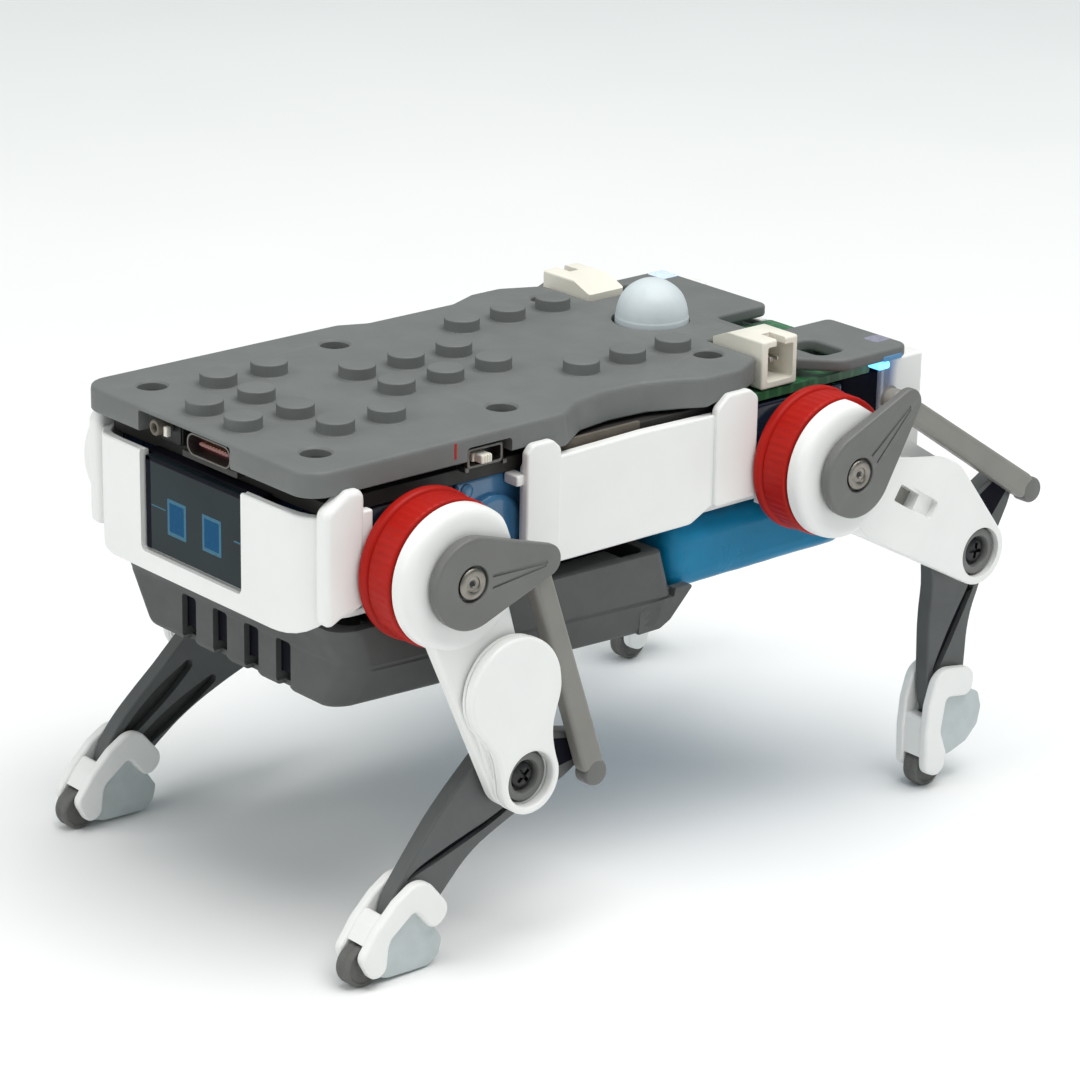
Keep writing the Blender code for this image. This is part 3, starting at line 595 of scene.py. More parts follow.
# top cover: a lofted deck with a near waist whose skirt is deeper, hollow below, with studs and tail
def deck_shell():
    corners = [  # top x, top y, foot x, foot y, radius
        (-23.75, -13.1, -23.75, -13.1, 3.5), (23.75, -13.1, 23.75, -13.1, 3.5),
        (23.75, 23.8, 23.75, 23.8, 0.0), (23.75, 25.4, 23.75, 25.4, 0.0),
        (23.75, 27.0, 23.75, 27.4, 1.4), (20.9, 31.6, 21.2, 31.9, 3.0), (19.9, 37.0, 20.4, 37.3, 5.0),
        (20.4, 43.2, 20.7, 43.4, 5.0), (22.1, 47.6, 22.3, 47.7, 3.0), (23.9, 51.0, 23.9, 51.0, 2.0),
        (23.95, 53.4, 23.95, 53.4, 0.0),
        (24.0, 57.2, 24.0, 57.2, 1.6), (21.2, 62.4, 21.2, 62.4, 1.2),
        (11.6, 62.4, 11.6, 62.4, 0.5), (11.6, 69.5, 11.6, 69.5, 0.6), (-11.6, 69.5, -11.6, 69.5, 0.6),
        (-11.6, 62.4, -11.6, 62.4, 0.5), (-21.2, 62.4, -21.2, 62.4, 1.2), (-24.0, 56.5, -24.0, 56.5, 2.0),
        (-24.0, 51.5, -24.0, 51.5, 2.0), (-22.0, 46.5, -22.4, 46.5, 2.0), (-22.0, 32.0, -22.4, 32.0, 2.0),
        (-23.75, 28.0, -23.75, 28.0, 2.0)]
    top = rounded([(a, b, r) for a, b, _, _, r in corners], 6)
    foot = rounded([(a, b, r) for _, _, a, b, r in corners], 6)
    rings = []
    for z, inset in ((-3.25, 0.15), (-3.1, 0.0), (-2.7, 0.0), (-2.3, 0.0), (-1.9, 0.0), (-1.5, 0.0), (-1.15, 0.0),
                     (-0.85, 0.0), (-0.6, 0.0), (-0.42, 0.02), (-0.26, 0.07), (-0.13, 0.15), (-0.04, 0.28), (0.0, 0.45)):
        t = (z + 3.25) / 3.25
        outline = [(f[0] + (h[0] - f[0]) * t, f[1] + (h[1] - f[1]) * t) for f, h in zip(foot, top)]
        ring = []
        for i, (a, b) in enumerate(outline):
            a0, b0 = outline[i - 1]
            a1, b1 = outline[(i + 1) % len(outline)]
            length = math.hypot(a1 - a0, b1 - b0) or 1.0
            deep = 0.24 * smoothstep((b - 23.8) / 1.6) * smoothstep((54.5 - b) / 2.5) if a > 0 else 0.0
            deep += deep * 0.45 * smoothstep((31.6 - b) / 5.0)
            ring.append((a - (b1 - b0) / length * inset, b + (a1 - a0) / length * inset, z * (1 + deep)))
        rings.append(ring)
    bm = loft(rings)
    # the foot isn't flat, so its face is split before anything is cut
    bmesh.ops.triangulate(bm, faces=[f for f in bm.faces if len(f.verts) > 4])
    return bm


stud_spots = [
    (x * 4.0, row * 8.0)
    for x, rows in ((3, (0, 1, 5, 6, 7)), (-3, (0, 1, 5, 6, 7)), (1, (-1, 0, 2, 3, 4)), (-1, (-1, 0, 2, 3, 4)))
    for row in rows
]
screw_spots = [(side * x, y) for x, y in ((16.85, -6.8), (16.9, 22.4), (16.3, 58.3)) for side in (1, -1)]
under_outline = [
    (-22.2, -11.5), (22.2, -11.5), (22.2, 27.3), (17.6, 32.8), (17.4, 44.2), (22.2, 52.4),
    (22.4, 56.0), (20.0, 60.8), (-20.0, 60.8), (-22.4, 56.0), (-22.4, 52.0), (-20.4, 47.0),
    (-20.4, 32.0), (-22.2, 27.5)]
tail_outline = rounded([
    (-23.0, 70.2, 2.4), (-11.0, 70.6, 0.6), (-11.0, 67.5, 0.0), (11.0, 67.6, 0.0),
    (11.0, 70.4, 0.6), (19.3, 70.8, 3.2), (24.3, 75.6, 3.4), (24.3, 88.0, 1.6),
    (9.0, 88.0, 1.2), (9.0, 76.0, 1.2), (-1.0, 76.0, 1.2), (-1.0, 86.2, 1.2), (-23.0, 86.2, 1.6)], 6)
stud_profile = [
    (0.0, 1.7), (2.15, 1.7), (2.27, 1.67), (2.36, 1.59), (2.4, 1.46), (2.4, 0.22), (2.45, 0.1), (2.58, 0.0),
    (2.6, -0.3), (0.0, -0.3)]
screw_well = [(0.0, 1.0), (2.3, 1.0), (2.3, 0.05), (2.02, -0.16), (1.92, -0.3), (1.9, -2.2), (0.0, -2.2)]

cover = deck_shell()
cover = cut(cover, prism("Z", under_outline, -5.5, -1.2, rim=0.0))
cover = join(cover, prism("Z", tail_outline, -4.0, -2.2, rim=0.5, steps=3, holes=[
    box_outline((14.2, 21.0), (74.4, 79.2), 1.4, 6), box_outline((-1.2, 2.6), (71.4, 73.8), 0.8, 5),
    box_outline((-20.6, -13.6), (73.6, 78.4), 1.4, 6)]))
cover = cut(
    cover,
    *[turned("Z", screw_well, 40, a=x, b=y) for x, y in screw_spots],
    disc("Z", 5.3, -6.0, 2.0, 0.0, 63.0, 64),
    prism("Y", box_outline((-11.0, 8.1), (-6.0, -0.5), 0.4), -15.0, -10.0, rim=0.0),
    block((-1.5, 8.35), (-10.5, -5.4), (-6.0, -0.53)),
    prism("X", box_outline((11.2, 18.4), (-6.0, -1.45), 0.5), 21.0, 25.5, rim=0.0),
)
cover = boolean(cover, gather(*[turned("Z", stud_profile, 40, a=x, b=y) for x, y in stud_spots]), "UNION")
# ribs under the deck, seen from below
cover = gather(
    cover,
    *[brick((x - 0.5, x + 0.5), (-11.0, 60.0), (-3.0, -1.1), 0.15) for x in (-8.0, 8.0)],
    *[brick((-20.0, 20.0), (y - 0.5, y + 0.5), (-2.9, -1.1), 0.15) for y in (4.0, 28.0, 52.0)],
    *[turned("Z", [(3.1, -1.1), (3.1, -4.4), (2.9, -4.6), (1.3, -4.6), (1.3, -2.3), (1.95, -2.3), (1.95, -1.1)],
             32, True, x, y) for x, y in screw_spots],
)
piece("cover_shell", cover, GREY, replaces=["top_cover"], angle=28.0)


def cross_head(r, low, high, a, b, axis="Z", arm=0.22, deep=0.45):
    """A domed screw head with a cross recess."""
    head = turned(axis, [(0.0, high), (r * 0.55, high - 0.03), (r * 0.82, high - 0.14), (r * 0.96, high - 0.34),
                         (r, low + 0.1), (r, low), (0.0, low)], 32, a=a, b=b)
    reach = r * 0.62
    spans = [((a - reach, a + reach), (b - arm, b + arm)), ((a - arm, a + arm), (b - reach, b + reach))]
    for u, v in spans:
        if axis == "Z":
            tool = block(u, v, (high - deep, high + 1.0))
        elif axis == "X":
            tool = block((high - deep, high + 1.0), u, v)
        else:
            tool = block(u, (-high - 1.0, -high + deep), v)
        head = cut(head, tool)
    return head


piece("cover_screws", gather(*[cross_head(1.7, -2.3, -1.35, x, y) for x, y in screw_spots]), BLACK_STEEL)
piece("edge_tick", brick((23.74, 23.79), (9.15, 9.5), (-2.5, -0.45), 0.02, 0.1, axis="X"), RED)

# white chassis
def face_wall():
    outline = rounded([
        (-24.8, -4.2, 0.35), (-24.8, -13.3, 8.7), (24.8, -13.3, 8.7), (24.8, -4.2, 0.35),
        (23.4, -4.2, 0.35), (23.4, -11.9, 7.3), (-23.4, -11.9, 7.3), (-23.4, -4.2, 0.35)], 10)
    bm = prism("Z", outline, -21.4, -5.6, rim=0.33, steps=3)
    for v in bm.verts:
        if v.co.z < -15.0:
            v.co.z += 3.8 * smoothstep((v.co.y + 13.3) / 6.6)
        elif v.co.z > -7.0:
            v.co.z -= 0.5 * smoothstep((abs(v.co.x) - 17.0) / 5.0) * smoothstep((-v.co.y - 7.0) / 3.0)
    return bm


chassis = face_wall()
chassis = cut(chassis, prism("Y", box_outline((-10.6, 10.4), (-18.8, -2.0), 0.9, 6), -15.0, -10.0, rim=0.0))
floor_outline = rounded([(-22.9, -12.2, 7.0), (22.9, -12.2, 7.0), (23.2, 49.4, 0.8), (21.5, 51.0, 0.8), (21.5, 87.8, 1.0),
                         (-21.5, 87.8, 1.0), (-21.5, 51.0, 0.8), (-23.2, 49.4, 0.8)], 8)
chassis = join(chassis, prism("Z", floor_outline, -19.6, -18.7, rim=0.2))
half = [
    # side wall between the leg bays, its foot rising to the rear post
    prism("X", rounded([(20.4, -19.4, 0.5), (48.6, -19.4, 2.2), (52.2, -17.6, 2.2), (59.0, -17.5, 0.6),
                        (59.0, -5.4, 0.8), (40.0, -5.0, 8.0), (20.4, -5.4, 0.8)], 5), 22.8, 24.3, rim=0.3, steps=3),
    # pilaster behind the face, and the two posts of the side wall
    prism("X", rounded([(-11.4, -20.0, 0.9), (-9.0, -18.8, 2.0), (-5.4, -17.8, 0.9), (-5.4, -2.7, 1.4), (-8.0, -2.7, 1.2),
                        (-11.4, -4.9, 1.6)], 5), 22.4, 24.88, rim=0.85, steps=5),
    prism("X", rounded([(20.0, -19.3, 0.6), (25.6, -19.3, 0.6), (25.6, -4.0, 1.2), (24.2, -2.7, 1.2), (20.9, -2.7, 1.2),
                        (20.0, -3.8, 0.9)], 5), 23.6, 24.9, rim=0.35, steps=3),
    prism("X", rounded([(52.2, -17.7, 0.6), (59.5, -17.6, 0.6), (59.5, -3.9, 1.2), (58.0, -2.7, 1.2), (54.2, -2.7, 1.2),
                        (52.2, -4.4, 1.2)], 5), 23.6, 24.9, rim=0.35, steps=3),
    # ledge in front of the first post
    brick((21.6, 24.2), (18.9, 20.6), (-8.0, -6.6), 0.25),
    # rear corner post
    prism("Z", box_outline((19.8, 22.8), (86.7, 92.6), 0.8, 5), -19.5, -4.4, rim=0.45, steps=3),
]
for end in ("front", "rear"):
    y = HIP_Y[end]
    half.append(prism("X", hull(circle(y, HIP_Z, 6.0, 40) + [(y - 7, -19.3), (y + 7, -19.3)]), 22.8, 24.3,
                      holes=[circle(y, HIP_Z, 2.6, 32)], rim=0.25))
for shape in half:
    chassis = join(chassis, shape.copy(), moved(shape, MIRROR))
# rear wall with two cable slots and a shallow panel
rear_wall = prism("Y", box_outline((-21.0, 21.0), (-19.3, -5.0), 0.5), 86.4, 87.6, rim=0.25, holes=[
    box_outline((-15.0, -5.0), (-9.4, -7.0), 1.1, 6), box_outline((5.0, 15.0), (-9.4, -7.0), 1.1, 6)])
rear_wall = cut(rear_wall, block((-2.6, 10.4), (86.0, 88.2), (-6.5, -4.0)))
chassis = join(chassis, rear_wall, prism("Y", box_outline((-16.0, 16.0), (-18.4, -11.4), 1.5, 6), 87.2, 88.0, rim=0.3))
piece("chassis_shell", chassis, WHITE, replaces=["chassis"], angle=30.0)

# dark block in the rear bay: painted shade under the tail
piece("rear_bay_painted_shade", brick((-20.6, 20.6), (79.0, 86.3), (-18.5, -6.4), 0.4, 0.6, steps=3), BLACK_AND_SHADE)

# control board with its parts
board_outline = rounded([
    (-21.6, -9.0, 1.0), (21.6, -9.0, 1.0), (21.6, 83.9, 1.0), (9.8, 83.9, 0.5), (9.8, 87.5, 0.6), (-2.0, 87.5, 0.6),
    (-2.0, 83.9, 0.5), (-21.6, 83.9, 1.0)], 5)
piece("board_panel", prism("Z", board_outline, -6.1, -4.9, rim=0.1, holes=[
    circle(x, y, 1.3, 24) for x, y in ((-18.5, -6.0), (18.5, -6.0), (-18.5, 80.8), (18.5, 80.8))]),
    BOARD, replaces=["main_board"])
# dark sheet over and round the part of the board that lies under the deck: painted shade under the deck
sheet = brick((-22.0, 22.0), (-9.4, 60.0), (-6.5, -4.6), 0.1, 0.5)
piece("board_shade_sheet", cut(sheet, disc("Z", 1.4, -8.0, -3.0, -18.5, -6.0, 24)), SHADE_SHEET)
# brown strip beside the board: board-edge brown and painted shade of the gap under the deck
piece("board_edge_shade_strip", both_sides(brick((21.9, 22.35), (24.5, 41.0), (-5.6, -4.2), 0.12, 0.2, axis="X")), BROWN_AND_SHADE)
chips = [brick((-6.0, 4.0), (18.0, 32.0), (-5.0, -3.3), 0.2), brick((8.0, 13.0), (36.0, 41.0), (-5.0, -4.0), 0.15),
         brick((-14.0, -9.5), (40.0, 46.0), (-5.0, -3.9), 0.15), brick((3.0, 7.0), (78.6, 81.6), (-5.0, -4.1), 0.15),
         brick((-6.6, -3.4), (76.9, 79.3), (-5.0, -4.2), 0.15)]
piece("board_chips", gather(*chips), BLACK)
pads = [brick((x, x + 1.0), (82.0, 83.4), (-5.0, -4.75), 0.06) for x in (-16.0, -13.5, -11.0, -8.5, 9.5, 12.0, 14.5)]
pads += [brick((x, x + 0.8), (73.9, 75.2), (-5.0, -4.3), 0.1) for x in (0.5, 3.0, 5.5)]
piece("board_pads", gather(*pads), STEEL)
lamps = [prism("X", box_outline((82.4, 84.6), (-5.1, -4.05), 0.4, 4), 22.0, 24.2, rim=0.25, steps=3)]
piece("tail_lamps", both_sides(gather(*lamps)), LED)
# glowing strip on the tail's side face: painted light of the blue lamp below
piece("tail_corner_glow", brick((24.1, 24.42), (83.0, 86.6), (-3.92, -3.2), 0.1, 0.3, axis="X"), LAMP_SPILL)
# glowing patches on the tops of the tail lobes: painted light of the blue lamps
piece("tail_light_pipe_left", brick((18.6, 21.4), (84.6, 87.6), (-4.6, -2.16), 0.2, 0.6, steps=3), LAMP_TINT_DIM)
piece("tail_light_pipe_right", brick((-22.7, -19.0), (82.9, 86.1), (-4.6, -2.12), 0.2, 0.6, steps=3), LAMP_TINT)

# data socket: a steel shell with a tongue
usb = prism("Y", box_outline((-1.05, 7.9), (-3.6, -0.68), 1.3, 8), -12.9, -5.8, rim=0.08,
            holes=[box_outline((-0.8, 7.65), (-3.35, -0.93), 1.1, 8)])
piece("usb_shell", gather(usb, *[brick((x, x + 0.5), (-12.0, -9.0), (-4.6, -3.5), 0.08) for x in (-0.4, 6.7)]),
      DULL_STEEL, replaces=["usb_socket"])
piece("usb_liner", prism("Y", box_outline((-0.81, 7.66), (-3.36, -0.92), 1.1, 8), -11.0, -6.6, rim=0.05), MAROON)
piece("usb_tongue", brick((0.4, 6.45), (-12.1, -7.4), (-2.4, -1.95), 0.12, 0.2, axis="Y"), ROSE)
piece("usb_contacts", gather(*[brick((0.75 + 0.6 * i, 1.05 + 0.6 * i), (-12.0, -11.0), (-2.45, -1.9), 0.03)
                               for i in range(9)]), BRASS)
# dark board edge under the data socket: painted shade
piece("front_board_edge_shade", brick((-3.0, 8.3), (-12.2, -8.8), (-4.6, -3.75), 0.1, 0.2, axis="Y"), SHADE_SHEET)

# slide switch and its slider
can = prism("X", box_outline((11.9, 17.7), (-4.6, -2.0), 0.35, 4), 16.8, 22.9, rim=0.12,
            holes=[box_outline((12.35, 17.25), (-4.2, -2.4), 0.2, 4)])
can = gather(can, *[brick((21.4, 23.1), (y - 0.35, y + 0.35), (-4.9, -4.3), 0.1) for y in (11.75, 17.85)])
piece("switch_can", can, DULL_STEEL, replaces=["power_switch"])
piece("switch_base", gather(brick((16.9, 20.8), (12.1, 17.5), (-4.4, -2.2), 0.1)), BLACK)
slider = join(brick((21.3, 22.7), (12.9, 15.0), (-3.85, -2.75), 0.12),
              brick((22.4, 24.1), (13.2, 14.95), (-3.85, -2.7), 0.2, 0.25, axis="X"))
slider = cut(slider, *[block((24.0, 24.4), (13.3 + k, 13.42 + k), (-4.0, -2.6)) for k in (0.35, 0.75, 1.15)])
piece("switch_slider", slider, CREAM, "slider", ["power_slider"])

# push button and the switch behind it
piece("tact_body", gather(brick((-10.2, -5.8), (-10.1, -6.6), (-4.6, -1.6), 0.2, 0.3, axis="Y"),
                          prism("Y", box_outline((-10.1, -5.9), (-4.5, -1.7), 0.4, 4), -10.35, -10.05, rim=0.05)),
      BLACK, replaces=["tact_switch"])
button = turned("Y", [(0.0, 11.9), (0.42, 11.9), (0.5, 12.0), (0.55, 12.7), (0.66, 12.86), (0.85, 12.9), (1.0, 12.8),
                      (1.05, 12.6), (1.05, 10.9), (0.0, 10.9)], 40, a=-8.0, b=-2.15)
piece("button_cap", button, UMBER, "button", ["push_button"])
piece("button_well", turned("Y", [(0.0, 12.2), (0.5, 12.2), (0.5, 12.0), (0.0, 12.0)], 24, a=-8.0, b=-2.15),
      BLACK, "button")
piece("front_terminal", brick((-6.85, -6.1), (-12.3, -11.6), (-3.05, -1.75), 0.12, 0.15), CREAM)

# sensor dome: a faceted milky lens on a collar
def dome_shell():
    profile = [(0.0, 5.7)]
    profile += [(4.9 * math.sin(math.radians(a)), 0.8 + 4.9 * math.cos(math.radians(a))) for a in range(5, 91, 5)]
    profile += [(4.93, 0.6), (5.0, 0.45), (5.0, -4.5), (4.9, -4.6), (0.0, -4.6)]
    bm = turned("Z", profile, 72)
    for v in bm.verts:
        if v.co.z > 0.9:
            turn = math.atan2(v.co.y, v.co.x)
            climb = math.atan2(v.co.z - 0.8, math.hypot(v.co.x, v.co.y))
            dent = 0.035 * (abs(math.sin(6 * turn)) * math.cos(climb) + 0.6 * abs(math.sin(5 * climb)))
            centre = Vector((0.0, 0.0, 0.8))
            v.co = centre + (v.co - centre) * (1 - dent / 4.9 * smoothstep((v.co.z - 0.9) / 0.8))
    bm.transform(Matrix.Translation((0.1, 63.15, 0.0)))
    return bm


piece("dome_lens", dome_shell(), DOME, replaces=["dome_sensor"], angle=50.0)

# wire connectors
for name, place in (("left", DECK), ("right", DECK @ MIRROR)):
    housing = brick((12.2, 22.0), (62.8, 69.2), (-4.6, 2.0), 0.35, 0.4, steps=3)
    housing = cut(housing, prism("X", box_outline((63.7, 68.3), (-3.7, 1.1), 0.3, 3), 15.5, 24.0, rim=0.0),
                  block((19.0, 24.0), (65.2, 66.8), (0.4, 3.0)),
                  moved(block((-6.0, 0.0), (61.0, 71.0), (0.0, 4.0)), Matrix.Rotation(math.radians(-22.0), 4, "Y"),
                        Matrix.Translation((15.8, 0.0, 2.0))))
    piece(f"connector_housing_{name}", housing, CREAM, replaces=[f"connector_{name}"], place=place)
    # darker back wall of the mouth: painted shade inside the mouth
    piece(f"connector_back_{name}", brick((15.2, 15.7), (63.75, 68.25), (-3.65, 1.05), 0.05), CREAM_SHADED, place=place)
    piece(f"connector_pins_{name}", gather(*[brick((15.4, 20.4), (y - 0.3, y + 0.3), (-1.6, -1.0), 0.1, axis="X")
                                             for y in (64.7, 66.0, 67.3)]), STEEL, place=place)

# display: glass, its dark frame with a thin top strip of painted shade from the deck, and the two square eyes
glass_slab = brick((-10.2, 10.0), (-12.7, -11.3), (-18.4, -6.2), 0.12, 0.25, axis="Y")
piece("display_glass", gather(glass_slab), GLASS, replaces=["display_module"])
piece("display_frame", gather(
    brick((-11.8, 11.8), (-11.5, -9.6), (-19.0, -6.0), 0.2, 0.3, axis="Y"),
    brick((-10.15, -9.2), (-12.74, -12.6), (-18.35, -6.25), 0.03, 0.1, axis="Y"),
    brick((-10.1, 9.95), (-12.74, -12.6), (-6.75, -6.25), 0.03, 0.1, axis="Y")), BLACK_AND_SHADE)
eye_edges, eyes = [], []
for x in (-3.65, 3.65):
    eye_edges.append(brick((x - 1.95, x + 1.95), (-12.745, -12.6), (-15.5, -10.75), 0.02, 0.12, axis="Y"))
    eyes.append(brick((x - 1.5, x + 1.5), (-12.765, -12.6), (-15.0, -11.2), 0.02, 0.1, axis="Y"))
piece("eye_outlines", gather(*eye_edges), EYE_EDGE)
piece("eyes", gather(*eyes), EYE)
piece("display_line", gather(brick((-9.0, -6.0), (-12.735, -12.6), (-12.55, -12.4), 0.02, axis="Y"),
                             brick((8.2, 9.8), (-12.735, -12.6), (-12.6, -12.4), 0.02, axis="Y")), EYE_EDGE)

# servos: a case in three layers with a gear boss
def servo_case(span, boss_y):
    shapes = [brick(x, span, (-18.6, -6.6), 0.45, 0.5, axis="X", steps=3)
              for x in ((1.0, 5.2), (5.1, 16.6), (16.5, 21.4))]
    shapes.append(turned("X", [(0.0, 22.5), (3.9, 22.5), (4.3, 22.38), (4.6, 22.1), (4.6, 21.2), (0.0, 21.2)], 48,
                         a=boss_y, b=HIP_Z))
    shapes += [turned("X", [(0.0, 21.75), (0.7, 21.72), (0.95, 21.55), (0.95, 21.2), (0.0, 21.2)], 20,
                      a=y, b=z) for y in (span[0] + 1.6, span[1] - 1.6) for z in (-17.2, -8.0)]
    return gather(*shapes)


# the crank servos take the darkened copy of the servo blue, painted shade of the bay
for end, crank_y, thigh_y in (("front", (-8.5, 11.1), (11.5, 31.1)), ("rear", (58.9, 78.5), (38.9, 58.5))):
    other_y = thigh_y[0] + 5.4 if end == "front" else thigh_y[1] - 5.4
    for name, place in (("left", DECK), ("right", DECK @ MIRROR)):
        for kind, span, boss_y in (("crank", crank_y, HIP_Y[end]), ("thigh", thigh_y, other_y)):
            piece(f"servo_{kind}_{end}_{name}", servo_case(span, boss_y), SERVO_SHADED if kind == "crank" else SERVO,
                  replaces=[f"{kind}_servo_{end}_{name}"], place=place)

# belly tray: upright walls down to a crease that drops rearwards, then leaning sides; vent slots in the nose
TRAY_Y = (-6.6, 45.6)


def tub(inset, top, bottom, rim=0.0):
    half = 24.0 - inset
    front, rear = TRAY_Y[0] + inset, TRAY_Y[1] - inset
    outline = rounded([
        (-half, front, 2.4 - inset / 2), (half, front, 3.2 - inset / 2), (half, rear, 1.6), (-half, rear, 1.6)], 10)
    count = len(outline)
    # each row: depth below the crease as a part of the way down, and how far the skin is drawn in
    rows = [(None, 0.0), (0.0, 0.0), (1.0, 0.0)]
    if rim:
        rows = [(None, 0.0), (-0.07, 0.0), (-0.045, 0.14), (0.0, 0.24), (0.035, 0.14), (0.06, 0.0), (0.3, 0.0), (0.55, 0.0)]
        rows += [(("up", rim * (1 - math.sin(math.radians(k)))), rim * (1 - math.cos(math.radians(k))))
                 for k in (0, 18, 36, 54, 72, 90)]
    rings = []
    for way, drawn in rows:
        ring = []
        for i, (a, b) in enumerate(outline):
            a0, b0 = outline[i - 1]
            a1, b1 = outline[(i + 1) % count]
            length = math.hypot(a1 - a0, b1 - b0) or 1.0
            share = (b - TRAY_Y[0]) / (TRAY_Y[1] - TRAY_Y[0])
            crease = -26.5 - 2.3 * share
            pull = drawn
            if way is None:
                z = top - 1.1 * smoothstep((b - 25.0) / 20.0)
            elif isinstance(way, tuple):
                z = bottom + way[1]
            else:
                z = crease + (bottom - crease) * way
                # the groove at the crease fades out round the nose
                pull = drawn * smoothstep((b - TRAY_Y[0]) / 5.0)
            below = max(0.0, crease - z) / (crease + 33.0)
            lean = (0.2 + 4.3 * (1 - min(1.0, share)) ** 1.45) * below
            # the rear end leans back down to the crease, and forward below it
            trail = (2.0 * (-21.9 - max(z, crease)) / 6.7 - 1.3 - 2.1 * below) * smoothstep((b - 38.0) / 6.0)
            jut = 2.3 * smoothstep((z + 26.6) / 5.0) * smoothstep((3.0 - b) / 9.0)
            ring.append((a * (1 - lean / half) - (b1 - b0) / length * pull, b + (a1 - a0) / length * pull - jut + trail, z))
        rings.append(ring)
    return loft(rings)


tray = tub(0.0, -21.1, -33.0, rim=1.0)
tray = cut(tray, tub(1.7, -18.6, -31.4))
ledge = rounded([(42.6, -32.95, 0.1), (44.2, -32.95, 1.2), (45.95, -32.0, 1.0), (48.1, -29.75, 0.2), (42.6, -29.75, 0.1)], 5)
# cheeks of the rear end, beside the battery
cheek = rounded([(40.5, -32.9, 0.0), (44.2, -32.9, 1.2), (45.95, -32.0, 1.0), (49.75, -27.8, 0.3), (46.55, -27.75, 0.15), (46.3, -28.85, 0.1),
                 (40.5, -28.85, 0.0)], 5)
cheek = prism("X", cheek, 22.66, 24.0, rim=0.0)
for v in cheek.verts:
    if v.co.x > 23.5:
        v.co.x -= 0.34 * max(0.0, (-28.6 - v.co.z) / 4.4)
tray = cut(
    tray,
    block((-12.6, 12.6), (-5.75, -3.4), (-31.2, -25.6)),
    *[prism("Y", box_outline((x - 1.5, x + 1.5), (-32.3, -26.4), 0.5, 5), -10.5, -3.0, rim=0.0)
      for x in (-9.9, -3.3, 3.3, 9.9)],
    # the nose's lower edge is nicked under each slot
    *[disc("Y", 1.9, -9.0, -5.2, x, -33.6, 40) for x in (-9.9, -3.3, 3.3, 9.9)],
    *[disc("Z", 2.0, -34.0, -32.2, x, y, 40) for x in (-14.0, 14.0) for y in (1.0, 32.0)],
)
tray = gather(tray, *[turned("Z", [(0.0, -19.75), (2.2, -19.75), (2.3, -19.85), (2.4, -31.5), (0.0, -31.5)], 32, a=x, b=y)
                      for x in (-14.0, 14.0) for y in (1.0, 32.0)])
# the rear end, and shelves along the tops of the side walls
tray = gather(tray, prism("X", ledge, -22.8, 22.8, rim=0.1), both_sides(cheek),
              both_sides(brick((19.4, 22.6), (-2.0, 38.0), (-23.0, -21.95), 0.12)))
piece("tray_shell", tray, TRAY, replaces=["bottom_tray"], angle=30.0)
# black plate behind the vent slots: painted shade inside the nose
piece("tray_nose_shade", brick((-12.5, 12.5), (-5.6, -4.6), (-31.1, -25.7), 0.1), BLACK_AND_SHADE)
piece("tray_screws", gather(*[moved(cross_head(1.5, 0.0, 0.6, 0.0, 0.0), Matrix.Rotation(math.pi, 4, "X"),
                                    Matrix.Translation((x, y, -32.1)))
                              for x in (-14.0, 14.0) for y in (1.0, 32.0)]), BLACK_STEEL)


# battery: a cell pack in shrink film, sunk between the cells and puckered at the ends
def pack():
    bm = block((-22.4, 22.4), (46.9, 79.8), (-29.4, -20.1))
    bmesh.ops.bevel(bm, geom=list(bm.edges), offset=2.4, segments=5, affect="EDGES", profile=0.5)
    bmesh.ops.subdivide_edges(bm, edges=[e for e in bm.edges if e.calc_length() > 4.0], cuts=17, use_grid_fill=True)
    for v in bm.verts:
        co = v.co.copy()
        cells = 0.12 * (1 - abs(math.cos(math.pi * (co.x + 22.4) / 22.4))) * smoothstep((abs(co.z + 24.75) - 3.2))
        pucker = smoothstep((abs(co.y - 63.3) - 11.5) / 4.0)
        wrinkle = 0.12 * noise.noise(co * 0.35) + 0.75 * pucker * noise.noise(Vector((co.x * 0.55, co.y * 0.3, co.z * 0.6)))
        if abs(co.z + 24.75) > 3.9:
            normal = Vector((0, 0, 1 if co.z > -24.75 else -1))
        elif abs(co.y - 63.3) > 15.6:
            normal = Vector((0, 1 if co.y > 63.3 else -1, 0))
        else:
            normal = Vector((1 if co.x > 0 else -1, 0, 0))
        v.co = co - normal * (cells - wrinkle * 0.5)
        v.co.x = max(-22.6, min(22.6, v.co.x))
        v.co.y = max(46.65, min(80.0, v.co.y))
        v.co.z = max(-29.6, min(-20.0, v.co.z))
    return settle(bm)


piece("battery_wrap", pack(), FILM, replaces=["battery_pack"], angle=60.0)


# ----------------------------------------------------------------------- legs
def splay(bm):
    for v in bm.verts:
        v.co.x += 0.75 * smoothstep((-v.co.z - 8.0) / 12.0)
    return bm


def ring_shape():
    """Drive ring: an inner lip, a groove and a finely ribbed band."""
    profile = [(2.6, 30.8), (8.95, 30.8), (9.25, 30.74), (9.42, 30.6), (9.5, 30.35), (9.5, 29.4), (9.5, 28.4),
               (9.5, 27.3), (9.42, 27.05), (9.26, 26.95), (9.26, 26.75), (9.5, 26.66), (9.68, 26.5), (9.75, 26.25),
               (9.75, 25.65), (9.68, 25.4), (9.5, 25.25), (9.25, 25.2), (2.6, 25.2)]
    bm = turned("X", profile, 224, True)
    for v in bm.verts:
        r = math.hypot(v.co.y, v.co.z)
        if r > 9.4 and 27.2 < v.co.x < 30.5:
            k = 1 + 0.011 * (math.cos(56 * math.atan2(v.co.z, v.co.y)) - 1) * 0.5
            v.co.y *= k
            v.co.z *= k
    return bm


def necked(wide, narrow):
    """A round plate drawn in to a neck above the knee."""
    return stroke([(1.5, -17.0, wide), (1.3, -19.2, wide * 0.955), (1.0, -21.5, wide * 0.80), (0.7, -23.8, narrow * 1.02),
                   (0.35, -26.4, narrow * 0.955), (0.0, -THIGH_LENGTH, narrow)], 6, 30)


